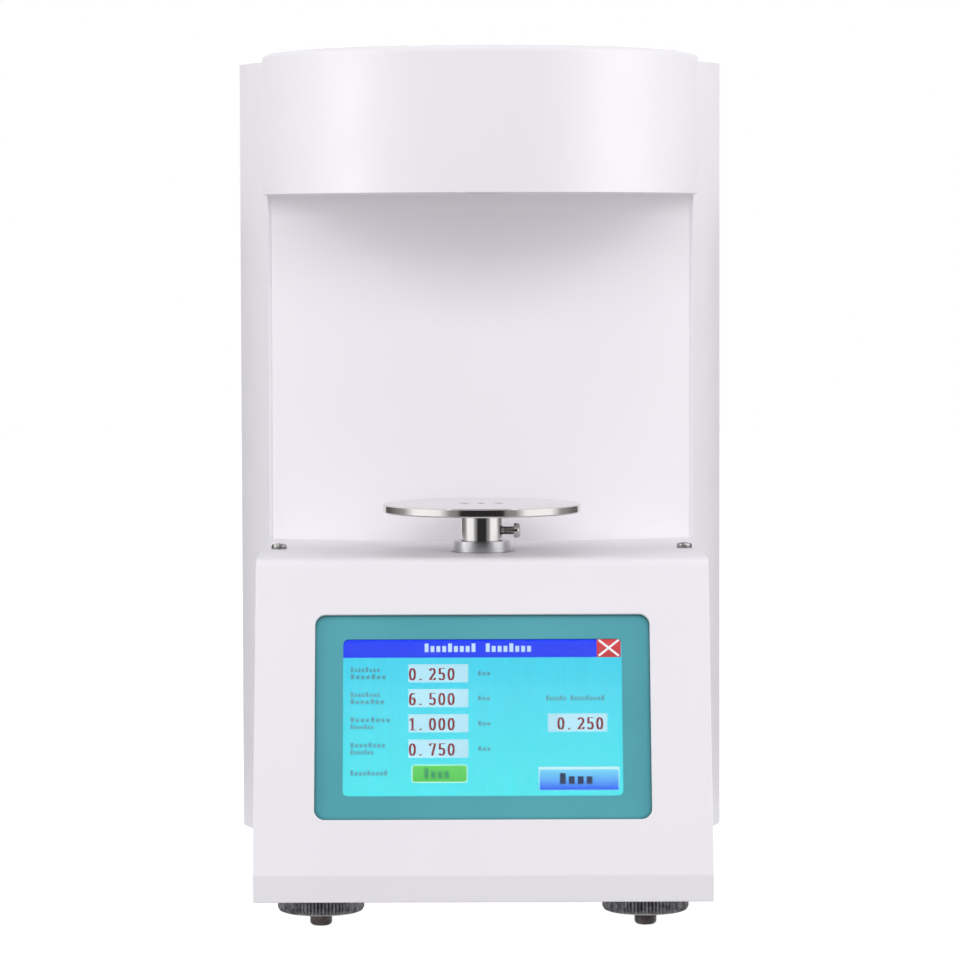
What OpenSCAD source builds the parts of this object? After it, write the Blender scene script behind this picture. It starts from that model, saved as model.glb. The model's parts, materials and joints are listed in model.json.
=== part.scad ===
// Bench surface tensiometer: a slanted touch-screen base, a recessed measuring bay with a lifting
// stage, a half-round head that holds the force sensor, and a wider rear housing.
// Millimetres. X to the right, -Y to the front, +Z up. The origin lies on the bench, under the
// middle of the outline.

/* [Overall] */
// Width of base, column and head
body_w = 171; // [160:1:180]
// Width of the rear housing
housing_w = 200; // [190:1:220]
// Depth from the front lip to the rear edge
body_d = 300; // [290:1:330]
// Height from the bench to the top of the head
body_h = 330; // [300:1:370]
// Thickness of the sheet-metal panels
sheet_t = 1.5; // [1:0.1:2]

/* [Base] */
// Height of the housing's lower edge above the bench
skirt_z = 12; // [11:0.5:14]
// Height of the vertical lip under the slanted panel
lip_h = 10; // [8:0.5:14]
// Height of the deck above the bench
deck_z = 137; // [134:1:142]
// How far the slanted panel leans back
panel_setback = 39; // [32:1:42]
// Depth of the deck, from its front edge to the wall's side edges
deck_d = 115; // [112:1:124]
// Outer radius of the bend between slanted panel and deck
bend_r = 5; // [4:0.5:6]
// Height of the floor plate above the housing's lower edge
floor_rise = 5; // [4:0.5:7]

/* [Screen] */
// Width of the window in the slanted panel
window_w = 125.8; // [122:0.2:132]
// Height of the window, along the slant
window_h = 78.5; // [76:0.5:84]
// Distance from the panel's top edge to the window, along the slant
window_drop = 21.8; // [18:0.2:26]
// Corner radius of the window
window_r = 4; // [2:0.5:6]
// Width of the lit area
lcd_w = 104.7; // [98:0.5:106]
// Height of the lit area
lcd_h = 60.1; // [56:0.5:62]

/* [Column and head] */
// Height of the head, from its underside to its top
head_h = 55; // [48:1:70]
// Radius of the bay's convex wall
wall_r = 223; // [190:1:260]
// Radius of the fillet between the bay's wall and the underside of the head
fillet_r = 9; // [6:0.5:12]
// How far the head's straight sides run in front of the wall's side edges
head_side = 39.5; // [38:0.5:44]
// Radius of the rounded edge on top of the head
head_edge_r = 2.5; // [2.2:0.1:4]
// Radius of the hole for the weighing hook
hook_hole_r = 9; // [7:0.5:11]

/* [Rear housing] */
// Distance from the wall's side edges to the start of the flared shoulder
shoulder_gap = 36; // [32:1:42]
// Length of the flared shoulder, front to back
shoulder_d = 34; // [30:1:40]
// Wall of the rear housing
housing_t = 2; // [1.5:0.1:3]
// How deep the rear panel sits inside the housing's rear edge
rear_recess = 7.5; // [7:0.5:10]

/* [Stage] */
// Diameter of the stage disc
stage_d = 76.4; // [60:0.2:90]
// Thickness of the stage disc
stage_t = 3.4; // [3:0.1:5]
// Height of the stage hub below the disc
hub_h = 10.8; // [10:0.2:14]
// Diameter of the stage hub
hub_d = 16.5; // [16:0.1:18]
// Diameter of the post that carries the hub
post_d = 10; // [9:0.1:10.5]
// Diameter of the lift column
lift_d = 22; // [20:0.2:22.5]
// How far the column stands out of the deck at the bottom of its travel
lift_stand = 4.2; // [3:0.1:6]
// Travel of the lift
lift_travel = 35; // [20:1:36]
// Diameter of the clearance hole in the deck
deck_hole_d = 24.8; // [24:0.1:27]
// Distance from the wall's side edges to the stage axis
stage_gap = 75.7; // [70:0.1:82]

/* [Feet] */
// Distance of each foot from the middle plane
foot_x = 61; // [54:1:64]
// Distance of the front feet behind the front lip
foot_front = 25; // [22:1:34]
// Distance of the rear feet in front of the rear edge
foot_rear = 35; // [30:1:45]
// Diameter of the knurled wheel
wheel_d = 32.5; // [28:0.5:36]
// Thickness of the knurled wheel
wheel_t = 8; // [6:0.5:8.5]
// Diameter of the foot's tip
tip_d = 8.4; // [7:0.2:10]
// Height of the tip below the wheel
tip_h = 5.3; // [4.5:0.1:5.5]

/* [Hidden] */
$fn = 96;
wide_fn = 240;      // facets of the large radii

over = 1;           // how far a cutter runs past a face
seam = 0.4;         // visible gap between two neighbouring panels
slip = 0.3;         // free gap beside a piece that isn't a fit
fit = 0.03;         // radial clearance of a running fit
m3_r = 1.5;         // radius of an M3 thread
m3_head_r = 3;      // radius of an M3 pan head
m3_head_h = 2;      // height of an M3 pan head
plate_t = 3;        // thickness of the inner frames
pan_round = 0.6;    // rounding of a pan head, as a share of its height
pan_slot_l = 1.1;   // length of a pan head's cross recess, as a share of its radius
pan_slot_w = 0.22;  // width of that recess, as a share of the head's radius

// Places along the depth
front_y = -body_d / 2;
rear_y = body_d / 2;
half_w = body_w / 2;
half_in = half_w - sheet_t;             // inner face of the side panels
half_housing = housing_w / 2;
deck_y = front_y + panel_setback;       // the line where slant and deck would meet
wall_y = deck_y + deck_d;               // the wall's side edges
wall_axis_y = wall_y + sqrt(wall_r * wall_r - half_w * half_w);
stage_y = wall_y - stage_gap;
head_y = wall_y - head_side;            // axis of the half-round head front
shoulder_y = wall_y + shoulder_gap;
shoulder_end_y = shoulder_y + shoulder_d;
rear_panel_y = rear_y - rear_recess;    // outer face of the rear panel

// Places along the height
floor_z = skirt_z + floor_rise;
floor_top = floor_z + sheet_t;
bay_top = body_h - head_h;              // underside of the head
cap_lip = 6;                            // how far the head cover's edge reaches down the sides
cap_z = body_h - cap_lip;
lift_top = deck_z + lift_stand;
hub_gap = 0.1;                          // hub above the column's top face
hub_z = lift_top + hub_gap;
disc_z = hub_z + hub_h;
disc_top = disc_z + stage_t;

// The slanted panel
panel_h = deck_z - skirt_z - lip_h;
panel_lean = atan(panel_setback / panel_h);
bend_run = bend_r * tan((90 - panel_lean) / 2);
window_mid = window_drop + window_h / 2;

// Points of an arc from angle a to angle b.
function arc(cx, cy, r, a, b, n = 8) =
  [for (i = [0:n]) [cx + r * cos(a + (b - a) * i / n), cy + r * sin(a + (b - a) * i / n)]];

// The same points on the other side of the middle plane, in reverse order.
function mirrored(pts) = [for (i = [len(pts) - 1:-1:0]) [-pts[i].x, pts[i].y]];

// A point given on the slanted panel: x across, u down the slant from its top edge, n inwards.
function panel_point(x, u, n) =
  [x, deck_y - u * sin(panel_lean) + n * cos(panel_lean),
   deck_z - u * cos(panel_lean) - n * sin(panel_lean)];

// Extrudes a side profile, drawn in Y and Z, from x0 to x1.
module along_x(x0, x1) {
  translate([x0, 0, 0])
    rotate([90, 0, 90])
      linear_extrude(x1 - x0)
        children();
}

// Children are drawn with X across, Y up the slant and Z out of it; the origin is on its top edge.
module on_panel() {
  translate([0, deck_y, deck_z])
    rotate([90 - panel_lean, 0, 0])
      children();
}

// Children face the back of the rear panel: X across, Y up, Z out to the rear.
module on_rear(x, z) {
  translate([x, rear_panel_y, z])
    rotate([90, 0, 180])
      children();
}

module round_rect(w, h, r) {
  square([w - 2 * r, h], center = true);
  square([w, h - 2 * r], center = true);
  for (sx = [-1, 1], sy = [-1, 1])
    translate([sx * (w / 2 - r), sy * (h / 2 - r)])
      circle(r = r);
}

module round_plate(w, h, t, r) {
  linear_extrude(t)
    round_rect(w, h, r);
}

// A box given by two opposite corners.
module block(low, high) {
  translate(low)
    cube(high - low);
}

// Pan-head screw: the head stands on z = 0, with a cross recess in its top.
module pan_screw(r, head_r, head_h, len) {
  round_r = head_h * pan_round;
  difference() {
    rotate_extrude()
      polygon(concat(
        [[0, -len], [r, -len], [r, 0], [head_r, 0]],
        arc(head_r - round_r, head_h - round_r, round_r, 0, 90, 6),
        [[0, head_h]]));
    for (a = [0, 90])
      rotate([0, 0, a])
        translate([0, 0, head_h])
          cube([head_r * pan_slot_l, head_r * pan_slot_w, head_h], center = true);
  }
}

function unit(v) = v / norm(v);

// Rings of a lead: the first stands square on the first run, and each next one is carried along its
// run until it meets the plane that halves the elbow there.
lead_sides = 10;
function lead_start(points, d) =
  let (run = unit(points[1] - points[0]),
       u = unit(cross(run, abs(run.z) < 0.9 ? [0, 0, 1] : [1, 0, 0])),
       v = cross(run, u))
  [for (k = [0:lead_sides - 1])
    points[0] + d / 2 * (cos(360 * k / lead_sides) * u + sin(360 * k / lead_sides) * v)];
function lead_rings(points, ring, i = 1) =
  i == len(points) ? [ring] :
  let (run = unit(points[i] - points[i - 1]),
       next = i < len(points) - 1 ? unit(points[i + 1] - points[i]) : run,
       halving = run + next,
       moved = [for (q = ring) q + run * ((points[i] - q) * halving) / (run * halving)])
  concat([ring], lead_rings(points, moved, i + 1));

// A lead that runs straight from point to point, with mitred elbows.
module lead(points, d) {
  rings = lead_rings(points, lead_start(points, d));
  n = lead_sides;
  last = len(points) - 1;
  sides = [for (i = [0:last - 1], k = [0:n - 1])
    let (m = (k + 1) % n)
    [i * n + k, (i + 1) * n + k, (i + 1) * n + m, i * n + m]];
  polyhedron(
    points = [for (ring = rings, q = ring) q],
    faces = concat([[for (k = [0:n - 1]) k]], sides, [[for (k = [n - 1:-1:0]) last * n + k]]));
}

// ---- Housing ----

foot_places = [
  [-foot_x, front_y + foot_front],
  [foot_x, front_y + foot_front],
  [-foot_x, rear_y - foot_rear],
  [foot_x, rear_y - foot_rear]
];
insert_neck_r = 6;                      // insert where it passes the base pan

// The flared shoulder on the +X side, slightly bowed outwards.
shoulder_bow = 1.4;
shoulder_pull = 0.4;                    // share of the bow that also draws the curve forwards
shoulder_steps = 10;
function shoulder(inset) =
  [for (i = [0:shoulder_steps])
    let (u = i / shoulder_steps, bow = shoulder_bow * sin(180 * u))
    [half_w - inset + (half_housing - half_w) * u + bow,
     shoulder_y + shoulder_d * u - bow * shoulder_pull]];

pan_gap = 0.3;                          // base pan inside the outer skins
pan_waist = 12;                         // narrow part, before and behind the shoulder's start
pan_corner = 10;                        // wide corner, behind the shoulder's end
pan_flange_h = 12;
pan_flange_end = 20;                    // flange short of either end of the straight side
pan_vents = 5;
pan_vent_step = 9;
pan_vent_x = 40;
pan_vent_size = [30, 3];
frame_screw_x = 36;                     // screws through the base pan into the lift frame
frame_screw_y = [stage_y - 16, stage_y + 26];
column_screw_x = 45;                    // screws through the base pan into the column frame
frame_gap = 26;                         // column frame behind the wall's side edges
frame_y = wall_y + frame_gap;           // its front face
foot_flange = 16;                       // foot flange of the column frame
pan_screw_places = [
  for (s = [-1, 1], y = frame_screw_y) [s * frame_screw_x, y],
  for (s = [-1, 1]) [s * column_screw_x, frame_y - foot_flange / 2]
];

module base_pan() {
  side = [
    [half_in - pan_gap, front_y + sheet_t + pan_gap],
    [half_in - pan_gap, shoulder_y - pan_waist],
    [half_w - housing_t - pan_gap, shoulder_y - pan_waist],
    [half_w - housing_t - pan_gap, shoulder_y + pan_waist],
    [half_housing - housing_t - pan_gap, shoulder_end_y + pan_corner],
    [half_housing - housing_t - pan_gap, rear_panel_y - sheet_t - pan_gap]
  ];
  color("gainsboro")
    difference() {
      union() {
        translate([0, 0, floor_z])
          linear_extrude(sheet_t)
            polygon(concat(side, mirrored(side)));
        for (s = [-1, 1])
          translate([s * (half_in - pan_gap - sheet_t / 2), (front_y + shoulder_y) / 2,
                     floor_z + pan_flange_h / 2])
            cube([sheet_t, shoulder_y - front_y - 2 * pan_flange_end, pan_flange_h], center = true);
      }
      for (p = foot_places)
        translate([p.x, p.y, floor_z - over])
          cylinder(r = insert_neck_r + fit, h = sheet_t + 2 * over);
      for (p = pan_screw_places)
        translate([p.x, p.y, floor_z - over])
          cylinder(r = m3_r + fit, h = sheet_t + 2 * over);
      for (i = [0:pan_vents - 1], s = [-1, 1])
        translate([s * pan_vent_x, shoulder_y + pan_waist + i * pan_vent_step, floor_z])
          cube([pan_vent_size.x, pan_vent_size.y, 4 * sheet_t], center = true);
    }
}

// One C-shaped side: base, column and the straight part of the head. Its front edge follows the
// inner face of the front cover, over the slant and round the top bend.
module side_panel(s) {
  cover_in = sheet_t + slip;
  back_y = front_y + cover_in;
  color("whitesmoke")
    along_x(s > 0 ? half_in : -half_w, s > 0 ? half_w : -half_in)
      polygon(concat(
        [[back_y, skirt_z],
         [back_y, skirt_z + lip_h - cover_in * tan(panel_lean / 2)]],
        arc(deck_y + bend_run, deck_z - bend_r, bend_r - cover_in, 180 - panel_lean, 90),
        [[deck_start_y, deck_z - sheet_t],
         [wall_y, deck_z - sheet_t]],
        arc(wall_y - fillet_r, bay_top - fillet_r, fillet_r, 0, 90),
        [[head_y + seam, bay_top],
         [head_y + seam, cap_z],
         [shoulder_y, cap_z],
         [shoulder_y, skirt_z]]));
}

module left_side_panel() {
  side_panel(-1);
}

module right_side_panel() {
  side_panel(1);
}

// Bent sheet: lower lip, slant, and a rounded bend that ends flat in the deck's plane.
cover_flat = 1;                         // flat run behind the top bend
cover_foot_r = 3;                       // bend above the lip
deck_start_y = deck_y + bend_run + cover_flat + seam;

module front_cover() {
  bend_y = deck_y + bend_run;
  bend_z = deck_z - bend_r;
  foot_y = front_y + cover_foot_r;
  foot_z = skirt_z + lip_h - cover_foot_r * tan(panel_lean / 2);
  color("whitesmoke")
    difference() {
      along_x(-half_w, half_w)
        polygon(concat(
          [[front_y, skirt_z]],
          arc(foot_y, foot_z, cover_foot_r, 180, 180 - panel_lean, 4),
          arc(bend_y, bend_z, bend_r, 180 - panel_lean, 90),
          [[bend_y + cover_flat, deck_z], [bend_y + cover_flat, deck_z - sheet_t]],
          arc(bend_y, bend_z, bend_r - sheet_t, 90, 180 - panel_lean),
          arc(foot_y, foot_z, cover_foot_r - sheet_t, 180 - panel_lean, 180, 4),
          [[front_y + sheet_t, skirt_z]]));
      on_panel()
        translate([0, -window_mid, -sheet_t - over])
          round_plate(window_w, window_h, sheet_t + 2 * over, window_r);
    }
}

deck_screw_inset = 6.5;                 // deck screws inside the side faces
deck_screw_gap = 60;                    // deck screws in front of the wall's side edges
deck_screw_len = 6;
deck_screw_places = [
  for (s = [-1, 1]) [s * (half_w - deck_screw_inset), wall_y - deck_screw_gap]
];

module deck_plate() {
  color("whitesmoke")
    difference() {
      block([-half_w, deck_start_y, deck_z - sheet_t], [half_w, wall_y, deck_z]);
      translate([0, wall_axis_y, deck_z - sheet_t - over])
        cylinder(r = wall_r, h = sheet_t + 2 * over, $fn = wide_fn);
      translate([0, stage_y, deck_z - sheet_t - over])
        cylinder(d = deck_hole_d, h = sheet_t + 2 * over);
      for (p = deck_screw_places)
        translate([p.x, p.y, deck_z - sheet_t - over])
          cylinder(r = m3_r + fit, h = sheet_t + 2 * over);
    }
}

// Angles on the side panels that carry the deck.
bracket_l = 40;
bracket_w = 11;
bracket_t = 2;

module deck_brackets() {
  top = deck_z - sheet_t;
  color("silver")
    for (p = deck_screw_places, s = [sign(p.x)])
      difference() {
        translate([0, p.y, 0])
          union() {
            translate([s * (half_in - bracket_w / 2), 0, top - bracket_t / 2])
              cube([bracket_w, bracket_l, bracket_t], center = true);
            translate([s * (half_in - bracket_t / 2), 0, top - bracket_w / 2])
              cube([bracket_t, bracket_l, bracket_w], center = true);
          }
        translate([p.x, p.y, top - bracket_w])
          cylinder(r = m3_r, h = bracket_w + over);
      }
}

module deck_screws() {
  color("dimgray")
    for (p = deck_screw_places)
      translate([p.x, p.y, deck_z])
        pan_screw(m3_r, m3_head_r, m3_head_h, deck_screw_len);
}

module pan_screws() {
  color("dimgray")
    for (p = pan_screw_places)
      translate([p.x, p.y, floor_z])
        rotate([180, 0, 0])
          pan_screw(m3_r, m3_head_r, m3_head_h, sheet_t + plate_t);
}

// The bay's convex wall, the concave fillet above it and the flat underside of the head.
liner_tuck = 6;                         // wall below the deck
liner_lap = 4;                          // flat edge of the wall's piece, beyond the fillet
ceiling_lap = 2;                        // start of the flat underside, beyond the fillet
liner_back = 20;                        // the wall's piece ends before this depth behind its edges

module recess_liner() {
  fillet_c = wall_r + fillet_r;
  low_z = deck_z - sheet_t - liner_tuck;
  color("whitesmoke")
    difference() {
      union() {
        intersection() {
          translate([0, wall_axis_y, 0])
            rotate_extrude($fn = wide_fn)
              polygon(concat(
                [[wall_r - sheet_t, low_z], [wall_r, low_z]],
                arc(fillet_c, bay_top - fillet_r, fillet_r, 180, 90),
                [[fillet_c + liner_lap, bay_top], [fillet_c + liner_lap, bay_top + sheet_t]],
                arc(fillet_c, bay_top - fillet_r, fillet_r + sheet_t, 90, 180)));
          block([-half_in, front_y, 0], [half_in, wall_y + liner_back, body_h]);
        }
        difference() {
          translate([0, 0, bay_top])
            linear_extrude(sheet_t)
              union() {
                translate([0, head_y])
                  circle(r = half_in, $fn = wide_fn);
                translate([-half_in, head_y])
                  square([2 * half_in, wall_y - head_y]);
              }
          translate([0, wall_axis_y, bay_top - over])
            cylinder(r = fillet_c + ceiling_lap, h = sheet_t + 2 * over, $fn = wide_fn);
        }
      }
      translate([0, stage_y, bay_top - over])
        cylinder(r = hook_hole_r, h = sheet_t + 2 * over);
    }
}

// Half-round front and flat top of the head, with a rounded upper edge.
module head_cover() {
  edge_c = [half_w - head_edge_r, body_h - head_edge_r];
  inner = concat([[half_in, cap_z]], arc(edge_c.x, edge_c.y, head_edge_r - sheet_t, 0, 90, 6));
  outer = concat([[half_w, cap_z]], arc(edge_c.x, edge_c.y, head_edge_r, 0, 90, 6));
  inner_back = [for (i = [len(inner) - 1:-1:0]) inner[i]];
  rim = concat([[0, body_h - sheet_t]], inner_back, outer, [[0, body_h]]);
  color("whitesmoke")
    union() {
      intersection() {
        translate([0, head_y, 0])
          union() {
            rotate_extrude($fn = wide_fn)
              polygon(rim);
            difference() {
              translate([0, 0, bay_top])
                cylinder(r = half_w, h = cap_z - bay_top + over, $fn = wide_fn);
              translate([0, 0, bay_top - over])
                cylinder(r = half_in, h = cap_z - bay_top + 2 * over, $fn = wide_fn);
            }
          }
        block([-half_w, head_y - half_w, 0], [half_w, head_y, body_h]);
      }
      translate([0, shoulder_y - seam, 0])
        rotate([90, 0, 0])
          linear_extrude(shoulder_y - seam - head_y + slip / 2)
            difference() {
              polygon(concat(outer, mirrored(outer)));
              polygon(concat([[half_in, cap_z - over]], inner, mirrored(inner),
                             [[-half_in, cap_z - over]]));
            }
    }
}

// Flared rear housing, open at the front and the back, with inner strips for the rear panel.
strip_w = 10;
strip_sink = 0.1;                       // strip let into the side wall
strip_low_z = floor_top + 4;
strip_high_z = body_h - 10.5;
joint_flange = 10;                      // flange that laps the side panels
joint_root = 8;                         // the same flange, behind the shoulder's start
joint_end = 13;                         // flange short of the floor plate and of the cap's edge

module rear_cover() {
  outer = concat(shoulder(0), [[half_housing, rear_y]]);
  inner = concat([[half_w - housing_t, shoulder_y - over]], shoulder(housing_t),
                 [[half_housing - housing_t, rear_y + over]]);
  strip_y = rear_panel_y - sheet_t - housing_t;
  color("whitesmoke")
    union() {
      difference() {
        translate([0, 0, skirt_z])
          linear_extrude(body_h - skirt_z)
            polygon(concat(outer, mirrored(outer)));
        translate([0, 0, skirt_z - over])
          linear_extrude(body_h - housing_t - skirt_z + over)
            polygon(concat(inner, mirrored(inner)));
      }
      for (s = [-1, 1]) {
        translate([s * (half_housing - housing_t - strip_w / 2), strip_y + housing_t / 2,
                   (strip_low_z + strip_high_z) / 2])
          cube([strip_w + 2 * strip_sink, housing_t, strip_high_z - strip_low_z], center = true);
        translate([s * (half_in - housing_t / 2), shoulder_y + (joint_root - joint_flange) / 2,
                   (floor_top + cap_z) / 2])
          cube([housing_t, joint_flange + joint_root, cap_z - floor_top - 2 * joint_end], center = true);
      }
    }
}

// Rear panel with vents and the cut-outs for inlet, switch and serial port.
port_rise = 74;                         // row of inlet, switch and serial port above the lower edge
port_z = skirt_z + port_rise;
inlet_inset = 38;                       // inlet inside the housing's side
switch_gap = 42;                        // switch beside the inlet
serial_inset = 56;                      // serial port inside the housing's other side
inlet_place = [-half_housing + inlet_inset, port_z];
switch_place = [inlet_place.x + switch_gap, port_z];
serial_place = [half_housing - serial_inset, port_z];
inlet_size = [30, 46];                  // flange of the mains inlet
switch_size = [19, 25];                 // flange of the rocker switch
serial_size = [31, 12.5];               // flange of the serial port
flange_t = 2.4;
flange_lap = 2;                         // flange over the edge of its cut-out
rear_vents = 10;
vent_step = 9;
vent_w = 56;
vent_h = 3.2;
vent_inset = 8;                         // vents beside the middle
vent_drop = 44;                         // uppermost vent below the housing's top
rear_screw_x = half_housing - housing_t - strip_w / 2;
rear_screw_rows = 4;
rear_screw_low = skirt_z + 22;
rear_screw_high = body_h - 16;
rear_screw_step = (rear_screw_high - rear_screw_low) / (rear_screw_rows - 1);
rear_screw_places = [
  for (s = [-1, 1], i = [0:rear_screw_rows - 1]) [s * rear_screw_x, rear_screw_low + i * rear_screw_step]
];

module rear_panel() {
  w = housing_w - 2 * housing_t - 2 * slip;
  low = skirt_z + slip;
  high = body_h - housing_t - slip;
  color("gainsboro")
    difference() {
      block([-w / 2, rear_panel_y - sheet_t, low], [w / 2, rear_panel_y, high]);
      for (i = [0:rear_vents - 1], s = [-1, 1])
        translate([s * (vent_w / 2 + vent_inset), rear_panel_y, body_h - vent_drop - i * vent_step])
          cube([vent_w, 4 * sheet_t, vent_h], center = true);
      for (cut = [[inlet_place, inlet_size], [switch_place, switch_size], [serial_place, serial_size]])
        translate([cut[0].x, rear_panel_y, cut[0].y])
          cube([cut[1].x - 2 * flange_lap, 4 * sheet_t, cut[1].y - 2 * flange_lap], center = true);
      for (p = rear_screw_places)
        translate([p.x, rear_panel_y + over, p.y])
          rotate([90, 0, 0])
            cylinder(r = m3_r + fit, h = sheet_t + 2 * over);
    }
}

// Short thread-cutting screws that end at the housing's strips.
module rear_screws() {
  color("dimgray")
    for (p = rear_screw_places)
      on_rear(p.x, p.y)
        pan_screw(m3_r, m3_head_r, m3_head_h, sheet_t);
}

// ---- Inner frames, display and electronics ----

frame_w = 120;
frame_flange = 14;
frame_t = 2;
frame_high_z = body_h - 14;
lead_port = [45, 32];                   // middle of the cable window in the column frame
lead_port_size = [26, 16];
sensor_port_z = bay_top + 24;
sensor_port_r = 5;

module column_frame() {
  color("silver")
    difference() {
      union() {
        block([-frame_w / 2, frame_y, floor_top], [frame_w / 2, frame_y + frame_t, frame_high_z]);
        block([-frame_w / 2, frame_y - foot_flange, floor_top],
              [frame_w / 2, frame_y + frame_t, floor_top + plate_t]);
        for (s = [-1, 1])
          translate([s * (frame_w / 2 - frame_t / 2), frame_y + frame_flange / 2,
                     (floor_top + frame_high_z) / 2])
            cube([frame_t, frame_flange, frame_high_z - floor_top], center = true);
      }
      translate([lead_port.x, frame_y, lead_port.y])
        cube([lead_port_size.x, 4 * frame_t, lead_port_size.y], center = true);
      translate([0, frame_y - over, sensor_port_z])
        rotate([-90, 0, 0])
          cylinder(r = sensor_port_r, h = frame_t + 2 * over);
      for (s = [-1, 1])
        translate([s * column_screw_x, frame_y - foot_flange / 2, floor_top - over])
          cylinder(r = m3_r, h = plate_t + 2 * over);
    }
}

bezel_t = 1;
glass_t = 1.1;
module_t = 6;
bezel_lap = 3;                          // bezel behind the edge of the window
glass_lap = 4;                          // glass behind the edge of the bezel's opening
module_lap = 6;                         // display module beyond the lit area
display_frame_t = 2;
display_post_r = 3;
display_post_gap = 1;                   // post beside the bezel
display_post_share = 0.3;               // post above and below the middle, as a share of the window
display_screw_len = 6;
bezel_open_r = 2;                       // corners of the bezel's opening and of the glass
module_r = 1;
display_frame_r = 3;
bezel_back = sheet_t + bezel_t;
glass_back = bezel_back + glass_t;
module_back = glass_back + module_t;
frame_back = module_back + display_frame_t;
display_post_places = [
  for (sx = [-1, 1], sy = [-1, 1])
    [sx * (window_w / 2 + bezel_lap + display_post_r + display_post_gap),
     -window_mid + sy * window_h * display_post_share]
];

module screen_bezel() {
  color("cadetblue")
    on_panel()
      translate([0, -window_mid, -bezel_back])
        difference() {
          round_plate(window_w + 2 * bezel_lap, window_h + 2 * bezel_lap, bezel_t, window_r);
          translate([0, 0, -over])
            round_plate(lcd_w, lcd_h, bezel_t + 2 * over, bezel_open_r);
        }
}

module touch_glass() {
  color("lightcyan")
    on_panel()
      translate([0, -window_mid, -glass_back])
        round_plate(lcd_w + 2 * glass_lap, lcd_h + 2 * glass_lap, glass_t, bezel_open_r);
}

module display_module() {
  color("darkslategray")
    on_panel()
      translate([0, -window_mid, -module_back])
        round_plate(lcd_w + 2 * module_lap, lcd_h + 2 * module_lap, module_t, module_r);
}

// Plate that presses the display forwards, on four posts behind the slanted panel.
module display_frame() {
  plate_w = window_w + 2 * (bezel_lap + 2 * display_post_r + display_post_gap);
  color("silver")
    on_panel()
      difference() {
        union() {
          translate([0, -window_mid, -frame_back])
            round_plate(plate_w, window_h, display_frame_t, display_frame_r);
          for (p = display_post_places)
            translate([p.x, p.y, -module_back])
              cylinder(r = display_post_r, h = module_back - sheet_t);
        }
        for (p = display_post_places)
          translate([p.x, p.y, -frame_back - over])
            cylinder(r = m3_r, h = display_screw_len + over);
      }
}

module display_screws() {
  color("dimgray")
    on_panel()
      for (p = display_post_places)
        translate([p.x, p.y, -frame_back])
          rotate([180, 0, 0])
            pan_screw(m3_r, m3_head_r, m3_head_h, display_screw_len);
}

standoff_h = 7;
standoff_r = 3;
standoff_inset = 6;
board_y = frame_y + frame_t + standoff_h;  // front face of the control board
board_t = 1.6;
board_w = 100;
board_low_z = 100;
board_high_z = 240;
standoff_places = [
  for (sx = [-1, 1], z = [board_low_z + standoff_inset, board_high_z - standoff_inset])
    [sx * (board_w / 2 - standoff_inset), z]
];
plug_h = 8;
plug_d = 9;
plug_w = 20;
plug_inset = 2;                         // plug socket inside the board's edge
low_plug_x = [-34, 0, 40];
low_plug_z = board_low_z + plug_inset;
high_plug_z = board_high_z - plug_inset;
chip = [[-16, 50], [12, 78]];           // opposite corners, from the board's lower edge
chip_t = 2;
relay = [[22, 90], [42, 106]];
relay_t = 14;
capacitor_x = [-38, -26];
capacitor_rise = 102;
capacitor_r = 5;
capacitor_h = 16;

// A block on the board's rear face, given by two opposite corners of its base.
module on_board(corners, t) {
  back = board_y + board_t;
  block([corners[0].x, back, corners[0].y], [corners[1].x, back + t, corners[1].y]);
}

module control_board() {
  rise = [0, board_low_z];
  color("seagreen")
    union() {
      block([-board_w / 2, board_y, board_low_z], [board_w / 2, board_y + board_t, board_high_z]);
      on_board([chip[0] + rise, chip[1] + rise], chip_t);
      on_board([relay[0] + rise, relay[1] + rise], relay_t);
      for (x = capacitor_x)
        translate([x, board_y + board_t, board_low_z + capacitor_rise])
          rotate([-90, 0, 0])
            cylinder(r = capacitor_r, h = capacitor_h, $fn = 48);
      for (x = low_plug_x)
        on_board([[x - plug_w / 2, low_plug_z], [x + plug_w / 2, low_plug_z + plug_h]], plug_d);
      on_board([[-plug_w / 2, high_plug_z - plug_h], [plug_w / 2, high_plug_z]], plug_d);
    }
}

module board_standoffs() {
  color("goldenrod")
    for (p = standoff_places)
      translate([p.x, frame_y + frame_t, p.y])
        rotate([-90, 0, 0])
          cylinder(r = standoff_r, h = standoff_h, $fn = 48);
}

psu_half_w = 50;
psu_h = 38;
psu_front_gap = 24;                     // behind the shoulder's start
psu_rear_gap = 26;                      // in front of the rear panel
psu_low = [-psu_half_w, shoulder_y + psu_front_gap, floor_top];
psu_high = [psu_half_w, rear_panel_y - sheet_t - psu_rear_gap, floor_top + psu_h];
psu_vents = 9;
psu_vent_step = 9;
psu_vent_size = [4, 20, 2];

module power_supply() {
  color("lightsteelblue")
    difference() {
      block(psu_low, psu_high);
      for (i = [0:psu_vents - 1])
        translate([(i - (psu_vents - 1) / 2) * psu_vent_step, (psu_low.y + psu_high.y) / 2, psu_high.z])
          cube(psu_vent_size, center = true);
    }
}

lead_d = 4;
thin_lead_d = 3;
plug_y = board_y + board_t + plug_d;    // rear face of the board's sockets
display_lead_gap = 0.05;                // lead behind the display frame
display_lead_run = 12;                  // its first run, square to the slant

// From the display module along the floor, through the column frame and up to the board.
module display_lead() {
  x = lead_port.x + 5;
  plug_x = x - 10;
  y = plug_y - plug_d / 2;
  start = panel_point(x, window_mid, frame_back + display_lead_gap);
  turn = panel_point(x, window_mid, frame_back + display_lead_run);
  run_z = floor_top + 10;
  color("gray")
    lead([start, turn, [x, turn.y, run_z], [x, y, run_z], [x, y, board_low_z - 40],
          [plug_x, y, board_low_z - 34], [plug_x, y, low_plug_z]], lead_d);
}

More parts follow.
